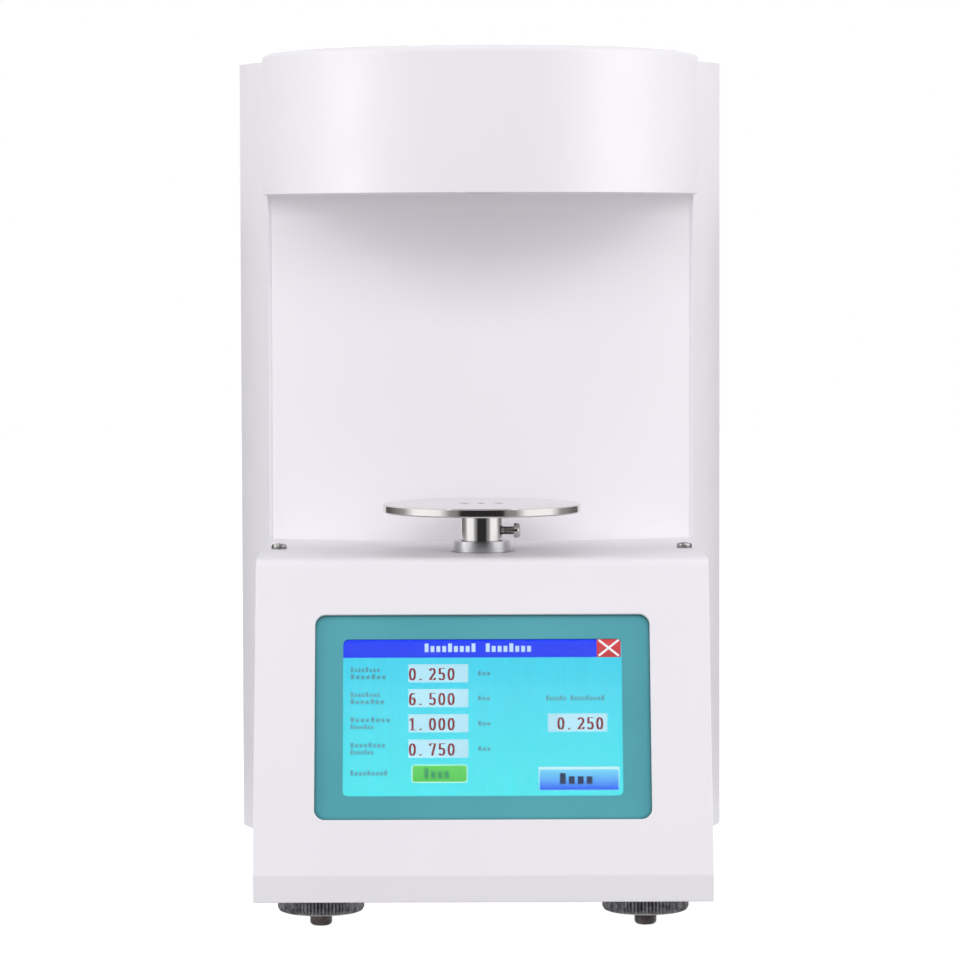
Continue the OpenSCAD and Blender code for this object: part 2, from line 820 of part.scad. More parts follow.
inlet_depth = 26;                       // inlet body behind the rear panel
switch_depth = 16;
switch_wall = 4;                        // floor of the rocker's opening

module mains_leads() {
  back_y = rear_panel_y - inlet_depth;
  switch_y = rear_panel_y - switch_depth;
  color("saddlebrown")
    union() {
      lead([[inlet_place.x, back_y, inlet_place.y - 8],
            [inlet_place.x, back_y - 8, inlet_place.y - 8],
            [-30, back_y - 8, psu_high.z + 12], [-30, back_y - 8, psu_high.z]], thin_lead_d);
      lead([[switch_place.x, switch_y, switch_place.y - 4],
            [switch_place.x, switch_y - 10, switch_place.y - 4],
            [switch_place.x, switch_y - 10, psu_high.z + 8],
            [switch_place.x, psu_high.y - 6, psu_high.z + 8],
            [switch_place.x, psu_high.y - 6, psu_high.z]], thin_lead_d);
    }
}

// Body of a port in its cut-out, from inside its flange to its depth behind the panel's face.
port_root = 0.5;

module port_body(size, depth) {
  translate([0, 0, (port_root - depth) / 2])
    cube([size.x - 2 * flange_lap - slip, size.y - 2 * flange_lap - slip, depth + port_root],
         center = true);
}

// Mains inlet: flange, body, a socket for the mains plug and a bay for the fuse drawer above it.
socket_size = [24, 16];
socket_depth = 17;
socket_drop = -9;                       // socket below the middle of the flange
socket_corner = 5;                      // cut upper corners of the socket
drawer_gap = 0.2;                       // drawer inside its bay, on each side
inlet_r = 2;
drawer_size = [24, 9];
drawer_rise = 13;                       // fuse drawer above the middle of the flange
drawer_depth = 20;

module power_inlet() {
  half = [socket_size.x / 2, socket_size.y / 2];
  color("black")
    on_rear(inlet_place.x, inlet_place.y)
      difference() {
        union() {
          round_plate(inlet_size.x, inlet_size.y, flange_t, inlet_r);
          port_body(inlet_size, inlet_depth);
        }
        translate([0, socket_drop, flange_t - socket_depth])
          linear_extrude(socket_depth + over)
            polygon([[-half.x, -half.y], [half.x, -half.y], [half.x, half.y / 2],
                     [half.x - socket_corner, half.y], [-half.x + socket_corner, half.y],
                     [-half.x, half.y / 2]]);
        translate([0, drawer_rise, flange_t - drawer_depth / 2 + over / 2])
          cube([drawer_size.x + 2 * drawer_gap, drawer_size.y + 2 * drawer_gap, drawer_depth + over],
               center = true);
      }
}

pin_pitch = 7;
pin_w = 2;
pin_h = 4;
pin_len = 14;
pin_low = -1;                           // outer pins below the middle of the socket
pin_high = 3;                           // middle pin above it

module inlet_pins() {
  color("silver")
    on_rear(inlet_place.x, inlet_place.y + socket_drop)
      for (p = [[-pin_pitch, pin_low], [0, pin_high], [pin_pitch, pin_low]])
        translate([p.x, p.y, flange_t - socket_depth + pin_len / 2])
          cube([pin_w, pin_h, pin_len], center = true);
}

fuse_r = 2.6;
fuse_len = 20;
fuse_cap_len = 5;
fuse_glass_gap = 0.3;                   // glass inside its metal caps
drawer_wall = 1;
drawer_short = 1.2;                     // drawer short of the end of its bay
drawer_front_t = 1.6;                   // thickness of the drawer's front
drawer_grip = [8, 2.4];                 // notch for a fingernail
fuse_sink = 2;                          // fuse behind the middle of the drawer

module fuse_drawer() {
  inner_d = drawer_depth - drawer_short;
  color("black")
    on_rear(inlet_place.x, inlet_place.y + drawer_rise)
      difference() {
        union() {
          translate([0, 0, flange_t - inner_d / 2])
            cube([drawer_size.x, drawer_size.y, inner_d], center = true);
          translate([0, 0, flange_t + drawer_front_t / 2])
            cube([drawer_size.x, drawer_size.y, drawer_front_t], center = true);
        }
        translate([0, drawer_wall, flange_t - inner_d / 2 - fuse_sink])
          cube([fuse_len + drawer_wall, drawer_size.y, 3 * fuse_r], center = true);
        translate([0, -drawer_size.y / 2, flange_t + drawer_front_t])
          cube([drawer_grip.x, drawer_grip.y, drawer_front_t], center = true);
      }
}

// Glass cartridge with metal caps, across the drawer.
module fuse() {
  inner_d = drawer_depth - drawer_short;
  color("lightgray")
    on_rear(inlet_place.x, inlet_place.y + drawer_rise - drawer_size.y / 2 + drawer_wall + fuse_r)
      translate([-fuse_len / 2, 0, flange_t - inner_d / 2 - fuse_sink])
        rotate([0, 90, 0])
          union() {
            cylinder(r = fuse_r - fuse_glass_gap, h = fuse_len, $fn = 48);
            for (x = [0, fuse_len - fuse_cap_len])
              translate([0, 0, x])
                cylinder(r = fuse_r, h = fuse_cap_len, $fn = 48);
          }
}

// The rocker turns on a pin across its housing.
rocker_w = 11;
rocker_h = 16;
rocker_edge = 0.6;                      // its ends inside its full height, so that it can tip
rocker_pin_r = 1.2;
rocker_depth = 6;                       // its pin behind the rear panel's face
rocker_tilt = 8;                        // to either side of the middle
rocker_stand = 2.6;                     // rocker's ends outside its housing's flange
rocker_dip = 1.4;                       // hollow between its two ends
rocker_draft = 0.2;                     // its ends lean inwards
rocker_gap = [0.2, 0.9];                // opening beside and beyond the rocker
rocker_root = [3, 2.4];                 // half width and depth of its foot, about the pin
rocker_pin_gap = 0.4;                   // pin short of the housing's side

module switch_housing() {
  color("black")
    on_rear(switch_place.x, switch_place.y)
      difference() {
        union() {
          round_plate(switch_size.x, switch_size.y, flange_t, 1);
          port_body(switch_size, switch_depth);
        }
        translate([0, 0, switch_wall - switch_depth / 2])
          cube([rocker_w + 2 * rocker_gap.x, rocker_h + 2 * rocker_gap.y, switch_depth + over],
               center = true);
        translate([-switch_size.x / 2, 0, -rocker_depth])
          rotate([0, 90, 0])
            cylinder(r = rocker_pin_r + fit, h = switch_size.x, $fn = 48);
      }
}

module switch_rocker() {
  base = rocker_depth + flange_t;       // from the pin to the flange's face
  side = rocker_h / 2 - rocker_edge;
  tip = side - rocker_draft;
  pin_half = switch_size.x / 2 - flange_lap - rocker_pin_gap;
  color("black")
    on_rear(switch_place.x, switch_place.y)
      translate([0, 0, -rocker_depth])
        rotate([rocker_tilt, 0, 0])
          union() {
            rotate([90, 0, 90])
              linear_extrude(rocker_w, center = true)
                polygon([[-side, base], [-tip, base + rocker_stand], [0, base + rocker_stand - rocker_dip],
                         [tip, base + rocker_stand], [side, base],
                         [rocker_root.x, -rocker_root.y], [-rocker_root.x, -rocker_root.y]]);
            translate([-pin_half, 0, 0])
              rotate([0, 90, 0])
                cylinder(r = rocker_pin_r, h = 2 * pin_half, $fn = 48);
          }
}

// Socket of the serial port with its D-shaped shell and two jack posts.
serial_plate_t = 1;
serial_depth = 10;
shell_w = 17;
shell_h = 8.4;
shell_slant = 1.6;                      // how much narrower the shell is below, on each side
shell_len = 6;
jack_x = 12.5;
jack_r = 2.5;
jack_len = 5;
jack_bore_r = 1.3;
contact_pitch = 2.8;
contact_rows = [[5, 1.4], [4, -1.4]];   // how many contacts, and how high
contact_r = 0.5;
contact_depth = 3;

module serial_port() {
  color("silver")
    on_rear(serial_place.x, serial_place.y)
      difference() {
        union() {
          round_plate(serial_size.x, serial_size.y, serial_plate_t, 1.5);
          port_body(serial_size, serial_depth);
          linear_extrude(shell_len)
            polygon([[-shell_w / 2, shell_h / 2], [shell_w / 2, shell_h / 2],
                     [shell_w / 2 - shell_slant, -shell_h / 2], [-shell_w / 2 + shell_slant, -shell_h / 2]]);
          for (s = [-1, 1])
            translate([s * jack_x, 0, 0])
              cylinder(r = jack_r, h = jack_len, $fn = 6);
        }
        for (row = contact_rows, i = [0:row[0] - 1])
          translate([(i - (row[0] - 1) / 2) * contact_pitch, row[1], shell_len - contact_depth])
            cylinder(r = contact_r, h = contact_depth + over, $fn = 24);
        for (s = [-1, 1])
          translate([s * jack_x, 0, serial_plate_t])
            cylinder(r = jack_bore_r, h = jack_len, $fn = 24);
      }
}

// ---- Lift ----

motor_w = 42;
motor_h = 34;
motor_pad_h = 2;
motor_pad_r = 3;
motor_pad_x = 14;
motor_chamfer = 4;
motor_bore_depth = 12;                  // bore for the lead screw's lower end
screw_end_gap = 0.2;                    // lead screw above the bottom of that bore
motor_low_z = floor_top + motor_pad_h;
motor_high_z = motor_low_z + motor_h;
motor_boss_r = 11;
motor_boss_h = 2;
lead_r = 4;                             // radius of the lead screw
lift_frame_x = 30;                      // outer face of the lift frame's uprights
lift_frame_y = [stage_y - 24, stage_y + 34];
lift_foot_w = 16;                       // foot of an upright
lift_foot_in = 3;                       // foot inside its upright's outer face
frame_drop = 8;                         // lift frame below the deck's upper face
frame_top_z = deck_z - frame_drop;
nut_flange_t = 3;
nut_gap = 2.5;                          // nut above the motor plate at the bottom of the travel
nut_z = motor_high_z + plate_t + nut_gap;
column_z = nut_z + nut_flange_t;
nut_r = 7;
nut_len = 14;
bush_r = 15;
arm_gap = 1;
arm_z = column_z + arm_gap;
arm_t = 8;
arm_w = 14;
arm_ring_w = 4;
bush_flange = [4, 3];                   // width and thickness of the bush's flange
rod_r = 3;
rod_gap = 24;                           // guide rod behind the stage axis
rod_y = stage_y + rod_gap;
stop_gap = 2;                           // free run left at the top of the travel
bush_z = arm_z + arm_t + lift_travel + stop_gap;
screw_top_z = column_z + nut_len + lift_travel + stop_gap;
bore_gap = [1.5, 3];                    // column's bore round the lead screw and above it
bore_top_z = screw_top_z + bore_gap.y;
post_floor_t = 4;                       // solid part of the column below the post
post_z = bore_top_z + post_floor_t;
post_drop = 2;                          // post below the disc

module lift_frame() {
  mid_y = (lift_frame_y[0] + lift_frame_y[1]) / 2;
  len_y = lift_frame_y[1] - lift_frame_y[0];
  color("silver")
    difference() {
      union() {
        for (s = [-1, 1]) {
          translate([s * (lift_frame_x - plate_t / 2), mid_y, (floor_top + frame_top_z) / 2])
            cube([plate_t, len_y, frame_top_z - floor_top], center = true);
          translate([s * (lift_frame_x - lift_foot_in + lift_foot_w / 2), mid_y, floor_top + plate_t / 2])
            cube([lift_foot_w, len_y, plate_t], center = true);
        }
        for (z = [motor_high_z, frame_top_z - plate_t])
          block([-lift_frame_x, lift_frame_y[0], z], [lift_frame_x, lift_frame_y[1], z + plate_t]);
      }
      translate([0, stage_y, motor_high_z - over])
        cylinder(r = motor_boss_r, h = plate_t + 2 * over);
      translate([0, stage_y, frame_top_z - plate_t - over])
        cylinder(r = bush_r, h = plate_t + 2 * over);
      translate([0, rod_y, motor_high_z - over])
        cylinder(r = rod_r, h = body_h);
      for (p = [for (q = pan_screw_places) if (abs(q.x) == frame_screw_x) q])
        translate([p.x, p.y, floor_top - over])
          cylinder(r = m3_r, h = plate_t + 2 * over);
    }
}

module guide_bush() {
  color("darkgoldenrod")
    translate([0, stage_y, 0])
      rotate_extrude()
        polygon([[lift_d / 2 + fit, bush_z], [bush_r, bush_z], [bush_r, frame_top_z],
                 [bush_r + bush_flange.x, frame_top_z], [bush_r + bush_flange.x, frame_top_z + bush_flange.y],
                 [lift_d / 2 + fit, frame_top_z + bush_flange.y]]);
}

module guide_rod() {
  color("silver")
    translate([0, rod_y, motor_high_z])
      cylinder(r = rod_r, h = frame_top_z - motor_high_z);
}

module lift_motor() {
  half = motor_w / 2;
  body = [for (a = [0:90:270], p = [[half, half - motor_chamfer], [half - motor_chamfer, half]])
    [p.x * cos(a) - p.y * sin(a), p.x * sin(a) + p.y * cos(a)]];
  color("dimgray")
    translate([0, stage_y, 0])
      difference() {
        union() {
          translate([0, 0, motor_low_z])
            linear_extrude(motor_h)
              polygon(body);
          translate([0, 0, motor_high_z])
            cylinder(r = motor_boss_r - slip, h = motor_boss_h);
          // damping pads under the motor
          for (x = [-motor_pad_x, motor_pad_x], y = [-motor_pad_x, motor_pad_x])
            translate([x, y, floor_top])
              cylinder(r = motor_pad_r, h = motor_pad_h + over, $fn = 48);
        }
        translate([0, 0, motor_high_z - motor_bore_depth])
          cylinder(r = lead_r + fit, h = motor_bore_depth + motor_boss_h + over);
      }
}

module motor_lead() {
  x = lead_port.x - 8;
  z = floor_top + 16;
  motor_back = stage_y + motor_w / 2;
  board_side = plug_y - 4;
  color("dimgray")
    lead([[12, motor_back, z], [12, motor_back + 22, z], [x, motor_back + 26, z],
          [x, board_side, z], [x, board_side, board_low_z - 42], [0, board_side, board_low_z - 20],
          [0, board_side, low_plug_z]], lead_d);
}

// Limit switches on the inner face of an upright: a body and a plunger that points at the column.
limit_body = [6.4, 20, 11];
limit_plunger = [4, 4, 2];
limit_plunger_rise = 4;                 // plunger above the body's lower face
limit_sink = 0.4;                       // plunger's root inside the body
limit_low_rise = 8;                     // lower switch above the nut's lower face
limit_high_drop = 12;                   // upper switch below the arm's highest place

module limit_switches() {
  x = lift_frame_x - plate_t;
  tip_x = x - limit_body.x - limit_plunger.x + limit_sink;
  color("black")
    for (z = [nut_z + limit_low_rise, arm_z + arm_t + lift_travel - limit_high_drop])
      union() {
        translate([x - limit_body.x, rod_y - limit_body.y / 2, z])
          cube(limit_body);
        translate([tip_x, rod_y - limit_plunger.y / 2, z + limit_plunger_rise])
          cube(limit_plunger);
      }
}

module lift_column() {
  color("gainsboro")
    translate([0, stage_y, 0])
      difference() {
        translate([0, 0, column_z])
          cylinder(d = lift_d, h = lift_top - column_z);
        translate([0, 0, column_z - over])
          cylinder(r = nut_r, h = nut_len + over);
        translate([0, 0, column_z])
          cylinder(r = lead_r + bore_gap.x, h = bore_top_z - column_z);
        translate([0, 0, post_z])
          cylinder(d = post_d, h = body_h);
      }
}

module lead_nut() {
  color("goldenrod")
    translate([0, stage_y, 0])
      difference() {
        union() {
          translate([0, 0, nut_z])
            cylinder(d = lift_d, h = nut_flange_t);
          translate([0, 0, nut_z])
            cylinder(r = nut_r, h = nut_flange_t + nut_len);
        }
        translate([0, 0, nut_z - over])
          cylinder(r = lead_r + fit, h = nut_len + nut_flange_t + 2 * over);
      }
}

// Arm on the lift column that slides on the guide rod and keeps the column from turning.
module anti_turn_arm() {
  color("silver")
    difference() {
      translate([0, 0, arm_z])
        linear_extrude(arm_t)
          union() {
            translate([0, stage_y])
              circle(r = lift_d / 2 + arm_ring_w);
            translate([-arm_w / 2, stage_y])
              square([arm_w, rod_y - stage_y]);
            translate([0, rod_y])
              circle(d = arm_w);
          }
      translate([0, stage_y, arm_z - over])
        cylinder(d = lift_d, h = arm_t + 2 * over);
      translate([0, rod_y, arm_z - over])
        cylinder(r = rod_r + fit, h = arm_t + 2 * over);
    }
}

module stage_post() {
  color("silver")
    translate([0, stage_y, post_z])
      cylinder(d = post_d, h = disc_z - post_drop - post_z);
}

module lead_screw() {
  low = motor_high_z - motor_bore_depth + screw_end_gap;
  color("silver")
    translate([0, stage_y, low])
      cylinder(r = lead_r, h = screw_top_z - low);
}

// ---- Stage ----

stage_screw_x = 6.6;
stage_screw_r = 1;
stage_screw_len = 6;
stage_screw_head_r = 1.9;
stage_screw_head_h = 1.1;
stage_screw_sink = 0.1;                 // head below the disc's face
stage_screw_slot = [2.2, 0.5, 1];
stage_edge = 0.5;                       // chamfer round the disc
centre_hole_r = 1.6;
centre_hole_depth = 1.5;
hub_roof_t = 1;                         // hub over the end of its bore
lock_rise = 3.7;                        // lock screw above the hub's lower face
lock_z = hub_z + lock_rise;
lock_head_r = 2.9;
lock_head_h = 2.5;
lock_reach = 14.9;                      // from the stage axis to the outer end of the lock screw

module stage_disc() {
  r = stage_d / 2;
  color("silver")
    translate([0, stage_y, disc_z])
      difference() {
        rotate_extrude()
          polygon([[0, 0], [r - stage_edge, 0], [r, stage_edge], [r, stage_t - stage_edge],
                   [r - stage_edge, stage_t], [0, stage_t]]);
        translate([0, 0, stage_t - centre_hole_depth])
          cylinder(r = centre_hole_r, h = centre_hole_depth + over, $fn = 48);
        for (s = [-1, 1])
          translate([s * stage_screw_x, 0, 0]) {
            translate([0, 0, -over])
              cylinder(r = stage_screw_r, h = stage_t + 2 * over, $fn = 48);
            translate([0, 0, stage_t - stage_screw_head_h])
              cylinder(r = stage_screw_head_r, h = stage_screw_head_h + over, $fn = 48);
          }
      }
}

module stage_hub() {
  color("silver")
    translate([0, stage_y, hub_z])
      difference() {
        cylinder(d = hub_d, h = hub_h);
        translate([0, 0, -over])
          cylinder(r = post_d / 2 + fit, h = hub_h - hub_roof_t + over);
        for (s = [-1, 1])
          translate([s * stage_screw_x, 0, hub_h - (stage_screw_len - stage_t)])
            cylinder(r = stage_screw_r, h = stage_screw_len, $fn = 48);
        translate([0, 0, lock_rise])
          rotate([0, 90, 0])
            cylinder(r = m3_r + fit, h = hub_d, $fn = 48);
      }
}

// Flat heads let into the disc, with a cross recess.
module stage_screws() {
  head_z = disc_top - stage_screw_sink;
  color("dimgray")
    for (s = [-1, 1])
      translate([s * stage_screw_x, stage_y, 0])
        difference() {
          union() {
            translate([0, 0, disc_top - stage_screw_len])
              cylinder(r = stage_screw_r, h = stage_screw_len - stage_screw_head_h, $fn = 48);
            translate([0, 0, disc_top - stage_screw_head_h])
              cylinder(r = stage_screw_head_r, h = stage_screw_head_h - stage_screw_sink, $fn = 48);
          }
          for (a = [0, 90])
            translate([0, 0, head_z])
              rotate([0, 0, a])
                cube(stage_screw_slot, center = true);
        }
}

module lock_screw() {
  shank = lock_reach - lock_head_h - post_d / 2 - slip;
  color("silver")
    translate([lock_reach - lock_head_h, stage_y, lock_z])
      rotate([0, 90, 0])
        pan_screw(m3_r, lock_head_r, lock_head_h, shank);
}

// ---- Force sensor ----

bracket_half_w = 18;
bracket_rise = 7;                       // bracket above the bay's ceiling
bracket_nose = 16;                      // bracket in front of the stage axis
bracket_high_z = body_h - 18;
bracket_hole_r = 6;
bracket_low_z = bay_top + bracket_rise;
sensor_gap = 2;                         // free end of the cell above its bracket
sensor_low_z = bracket_low_z + plate_t + sensor_gap;
sensor_h = 20;
sensor_half_w = 9;
sensor_y = [stage_y - 10, stage_y + 62];
sensor_foot_l = 20;
sensor_bore_r = 8;
sensor_bore_gap = 12;                   // each cross bore from the cell's middle
sensor_slot_h = 6;

module sensor_bracket() {
  color("silver")
    difference() {
      union() {
        block([-bracket_half_w, stage_y - bracket_nose, bracket_low_z],
              [bracket_half_w, frame_y, bracket_low_z + plate_t]);
        block([-bracket_half_w, frame_y - plate_t, bracket_low_z],
              [bracket_half_w, frame_y, bracket_high_z]);
      }
      translate([0, stage_y, bracket_low_z - over])
        cylinder(r = bracket_hole_r, h = plate_t + 2 * over);
      translate([0, frame_y - plate_t - over, sensor_port_z])
        rotate([-90, 0, 0])
          cylinder(r = sensor_port_r, h = plate_t + 2 * over);
    }
}

// Bending-beam cell: a block on a foot, weakened by two cross bores and a slot between them.
module force_sensor() {
  mid_y = (sensor_y[0] + sensor_y[1]) / 2;
  mid_z = sensor_low_z + sensor_h / 2;
  color("silver")
    difference() {
      union() {
        block([-sensor_half_w, sensor_y[0], sensor_low_z],
              [sensor_half_w, sensor_y[1], sensor_low_z + sensor_h]);
        block([-sensor_half_w, sensor_y[1] - sensor_foot_l, bracket_low_z + plate_t],
              [sensor_half_w, sensor_y[1], sensor_low_z + over]);
      }
      for (s = [-1, 1])
        translate([-sensor_half_w - over, mid_y + s * sensor_bore_gap, mid_z])
          rotate([0, 90, 0])
            cylinder(r = sensor_bore_r, h = 2 * sensor_half_w + 2 * over);
      translate([0, mid_y, mid_z])
        cube([2 * sensor_half_w + 2 * over, 2 * sensor_bore_gap, sensor_slot_h], center = true);
    }
}

hook_wire_r = 0.8;
hook_ring_r = 3;
hook_ring_z = bay_top + 6;
hook_ring_turn = 300;                   // degrees of the open ring
hook_collar = [3, 2];                   // radius and height of the collar under the cell

module weighing_hook() {
  color("silver")
    translate([0, stage_y, 0])
      union() {
        translate([0, 0, hook_ring_z + hook_ring_r])
          cylinder(r = hook_wire_r, h = sensor_low_z - hook_ring_z - hook_ring_r, $fn = 48);
        translate([0, 0, sensor_low_z - hook_collar.y])
          cylinder(r = hook_collar.x, h = hook_collar.y, $fn = 48);
        translate([0, 0, hook_ring_z])
          rotate([90, hook_ring_turn - 360, 0])
            rotate_extrude(angle = hook_ring_turn, $fn = 48)
              translate([hook_ring_r, 0])
                circle(r = hook_wire_r, $fn = 24);
      }
}

module sensor_lead() {
  z = sensor_port_z;
  color("dimgray")
    lead([[0, sensor_y[1], z], [0, plug_y - 4, z], [0, plug_y - 4, high_plug_z]], thin_lead_d);
}

// ---- Levelling feet ----

stud_r = 4;
stud_h = 19;                            // stud above the wheel
stud_edge = 0.6;
insert_r = 8;
insert_h = 14;
pivot_r = 2;                            // pin of the tip in the wheel
pivot_h = 5;
pivot_gap = 0.2;                        // bore beyond the end of that pin
tip_gap = 0.1;                          // wheel above the tip's shoulder
tip_edge_r = 1.6;
wheel_edge = 1;

module foot_inserts() {
  color("gold")
    for (p = foot_places)
      translate([p.x, p.y, 0])
        rotate_extrude()
          polygon([[stud_r + fit, floor_z], [insert_neck_r, floor_z], [insert_neck_r, floor_top],
                   [insert_r, floor_top], [insert_r, floor_top + insert_h],
                   [stud_r + fit, floor_top + insert_h]]);
}

module foot_tip(i) {
  top = tip_h - tip_gap;
  color("dimgray")
    translate([foot_places[i].x, foot_places[i].y, 0])
      rotate_extrude()
        polygon(concat(
          [[0, 0]],
          arc(tip_d / 2 - tip_edge_r, tip_edge_r, tip_edge_r, -90, 0, 6),
          [[tip_d / 2, top], [pivot_r, top], [pivot_r, top + pivot_h], [0, top + pivot_h]]));
}

module foot_wheel(i) {
  r = wheel_d / 2;
  bore = pivot_r + fit;
  bore_h = pivot_h + pivot_gap;
  top = wheel_t + stud_h;
  color("darkslategray")
    translate([foot_places[i].x, foot_places[i].y, tip_h])
      rotate_extrude()
        polygon([[bore, 0], [r - wheel_edge, 0], [r, wheel_edge], [r, wheel_t - wheel_edge],
                 [r - wheel_edge, wheel_t], [stud_r, wheel_t], [stud_r, top - stud_edge],
                 [stud_r - stud_edge, top], [0, top], [0, bore_h], [bore, bore_h]]);
}

module front_left_tip() { foot_tip(0); }
module front_right_tip() { foot_tip(1); }
module rear_left_tip() { foot_tip(2); }
module rear_right_tip() { foot_tip(3); }
module front_left_wheel() { foot_wheel(0); }
module front_right_wheel() { foot_wheel(1); }
module rear_left_wheel() { foot_wheel(2); }
module rear_right_wheel() { foot_wheel(3); }

base_pan();
left_side_panel();
right_side_panel();
front_cover();
deck_plate();
recess_liner();
head_cover();
rear_cover();
rear_panel();
column_frame();
deck_brackets();
deck_screws();
pan_screws();
rear_screws();
screen_bezel();
touch_glass();
display_module();
display_frame();
display_screws();
display_lead();
lift_frame();
guide_bush();
guide_rod();
lift_motor();
motor_lead();
limit_switches();
lift_column();
lead_nut();
anti_turn_arm();
stage_post();
lead_screw();
stage_disc();
stage_hub();
stage_screws();
lock_screw();
sensor_bracket();
force_sensor();
weighing_hook();
sensor_lead();
control_board();
board_standoffs();
power_supply();
mains_leads();
power_inlet();
inlet_pins();
fuse_drawer();
fuse();
switch_housing();
switch_rocker();
serial_port();
foot_inserts();
front_left_tip();
front_right_tip();
rear_left_tip();
rear_right_tip();
front_left_wheel();
front_right_wheel();
rear_left_wheel();
rear_right_wheel();
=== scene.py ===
import bpy
import bmesh
import json
import math
from mathutils import Matrix, Vector


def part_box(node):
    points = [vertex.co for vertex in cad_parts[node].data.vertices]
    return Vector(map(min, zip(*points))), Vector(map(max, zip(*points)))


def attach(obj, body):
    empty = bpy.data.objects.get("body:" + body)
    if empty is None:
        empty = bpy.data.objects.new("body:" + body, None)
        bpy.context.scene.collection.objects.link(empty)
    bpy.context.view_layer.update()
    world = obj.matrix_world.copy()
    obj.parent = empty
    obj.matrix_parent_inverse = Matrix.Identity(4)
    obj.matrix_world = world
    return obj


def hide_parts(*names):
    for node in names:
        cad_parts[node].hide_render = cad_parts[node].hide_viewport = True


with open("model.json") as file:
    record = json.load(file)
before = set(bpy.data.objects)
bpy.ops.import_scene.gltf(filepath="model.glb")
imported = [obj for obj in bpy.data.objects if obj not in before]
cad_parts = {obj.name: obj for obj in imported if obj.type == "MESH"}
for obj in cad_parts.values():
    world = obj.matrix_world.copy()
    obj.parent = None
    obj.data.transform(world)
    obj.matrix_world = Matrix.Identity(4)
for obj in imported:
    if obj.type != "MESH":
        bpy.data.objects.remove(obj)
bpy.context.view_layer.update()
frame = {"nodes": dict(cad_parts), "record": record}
cad = frame["nodes"]
slotOf = {part["node"]: part["material_slot"] for part in frame["record"]["subparts"]}
print("frame loaded:", len(cad), "nodes")


def newMaterial(name):
    mat = bpy.data.materials.new(name)
    mat.use_nodes = True
    tree = mat.node_tree
    return mat, tree.nodes, tree.links, tree.nodes["Principled BSDF"]


def objectPoint(nodes, links, place=(0, 0, 0), turn=(0, 0, 0), stretch=(1, 1, 1)):
    # Object coordinates, moved, turned and stretched so that a pattern sits on its piece
    coord = nodes.new("ShaderNodeTexCoord")
    mapping = nodes.new("ShaderNodeMapping")
    mapping.vector_type = "TEXTURE"
    mapping.inputs["Location"].default_value = place
    mapping.inputs["Rotation"].default_value = turn
    mapping.inputs["Scale"].default_value = stretch
    links.new(coord.outputs["Object"], mapping.inputs["Vector"])
    return mapping.outputs["Vector"]


def noise(nodes, links, point, scale, detail=2.0):
    tex = nodes.new("ShaderNodeTexNoise")
    tex.inputs["Scale"].default_value = scale
    tex.inputs["Detail"].default_value = detail
    links.new(point, tex.inputs["Vector"])
    return tex.outputs["Fac"]


def spread(nodes, links, value, low, high, fromLow=0.3, fromHigh=0.7):
    ranged = nodes.new("ShaderNodeMapRange")
    ranged.inputs["From Min"].default_value = fromLow
    ranged.inputs["From Max"].default_value = fromHigh
    ranged.inputs["To Min"].default_value = low
    ranged.inputs["To Max"].default_value = high
    links.new(value, ranged.inputs["Value"])
    return ranged.outputs["Result"]


def blendColours(nodes, links, value, first, second, at=(0.35, 0.65)):
    ramp = nodes.new("ShaderNodeValToRGB")
    ramp.color_ramp.elements[0].position = at[0]
    ramp.color_ramp.elements[1].position = at[1]
    ramp.color_ramp.elements[0].color = (*first, 1)
    ramp.color_ramp.elements[1].color = (*second, 1)
    links.new(value, ramp.inputs["Fac"])
    return ramp.outputs["Color"]


def tinted(nodes, links, first, second):
    mix = nodes.new("ShaderNodeMix")
    mix.data_type = "RGBA"
    mix.blend_type = "MULTIPLY"
    mix.inputs["Factor"].default_value = 1
    links.new(first, mix.inputs[6])
    links.new(second, mix.inputs[7])
    return mix.outputs[2]


def addBump(nodes, links, bsdf, height, depth, strength=0.5, under=None):
    # Bump on the shader's normal, or on the one given as under; depth is in metres
    bump = nodes.new("ShaderNodeBump")
    bump.inputs["Distance"].default_value = depth
    bump.inputs["Strength"].default_value = strength
    links.new(height, bump.inputs["Height"])
    if under is not None:
        links.new(under, bump.inputs["Normal"])
    links.new(bump.outputs["Normal"], bsdf.inputs["Normal"])
    return bump.outputs["Normal"]


# Fine white powder coat with orange peel on the outer sheets
powderCoat = {"light": (0.848, 0.826, 0.872), "dull": (0.826, 0.806, 0.851), "patchScale": 7,
              "patchAt": (0.3, 0.7), "glossScale": 60, "roughLow": 0.40, "roughHigh": 0.47, "peelScale": 700,
              "peelDepth": 0.00004, "grainScale": 3200, "grainDepth": 0.000012, "grainStrength": 0.4}


def paintedSheet():
    p = powderCoat
    mat, nodes, links, bsdf = newMaterial("whitePowderCoat")
    point = objectPoint(nodes, links)
    patches = noise(nodes, links, point, p["patchScale"], 3)
    tone = blendColours(nodes, links, patches, p["dull"], p["light"], p["patchAt"])
    links.new(tone, bsdf.inputs["Base Color"])
    gloss = noise(nodes, links, point, p["glossScale"], 3)
    links.new(spread(nodes, links, gloss, p["roughLow"], p["roughHigh"]), bsdf.inputs["Roughness"])
    peel = addBump(nodes, links, bsdf, noise(nodes, links, point, p["peelScale"]), p["peelDepth"])
    grain = noise(nodes, links, point, p["grainScale"], 1)
    addBump(nodes, links, bsdf, grain, p["grainDepth"], p["grainStrength"], peel)
    return mat


# Zinc-plated inner sheets with a faint spangle
zincPlate = {"light": (0.62, 0.63, 0.64), "dull": (0.47, 0.48, 0.50), "spangleScale": 90,
             "roughLow": 0.32, "roughHigh": 0.50, "grainScale": 1500, "grainDepth": 0.00002}


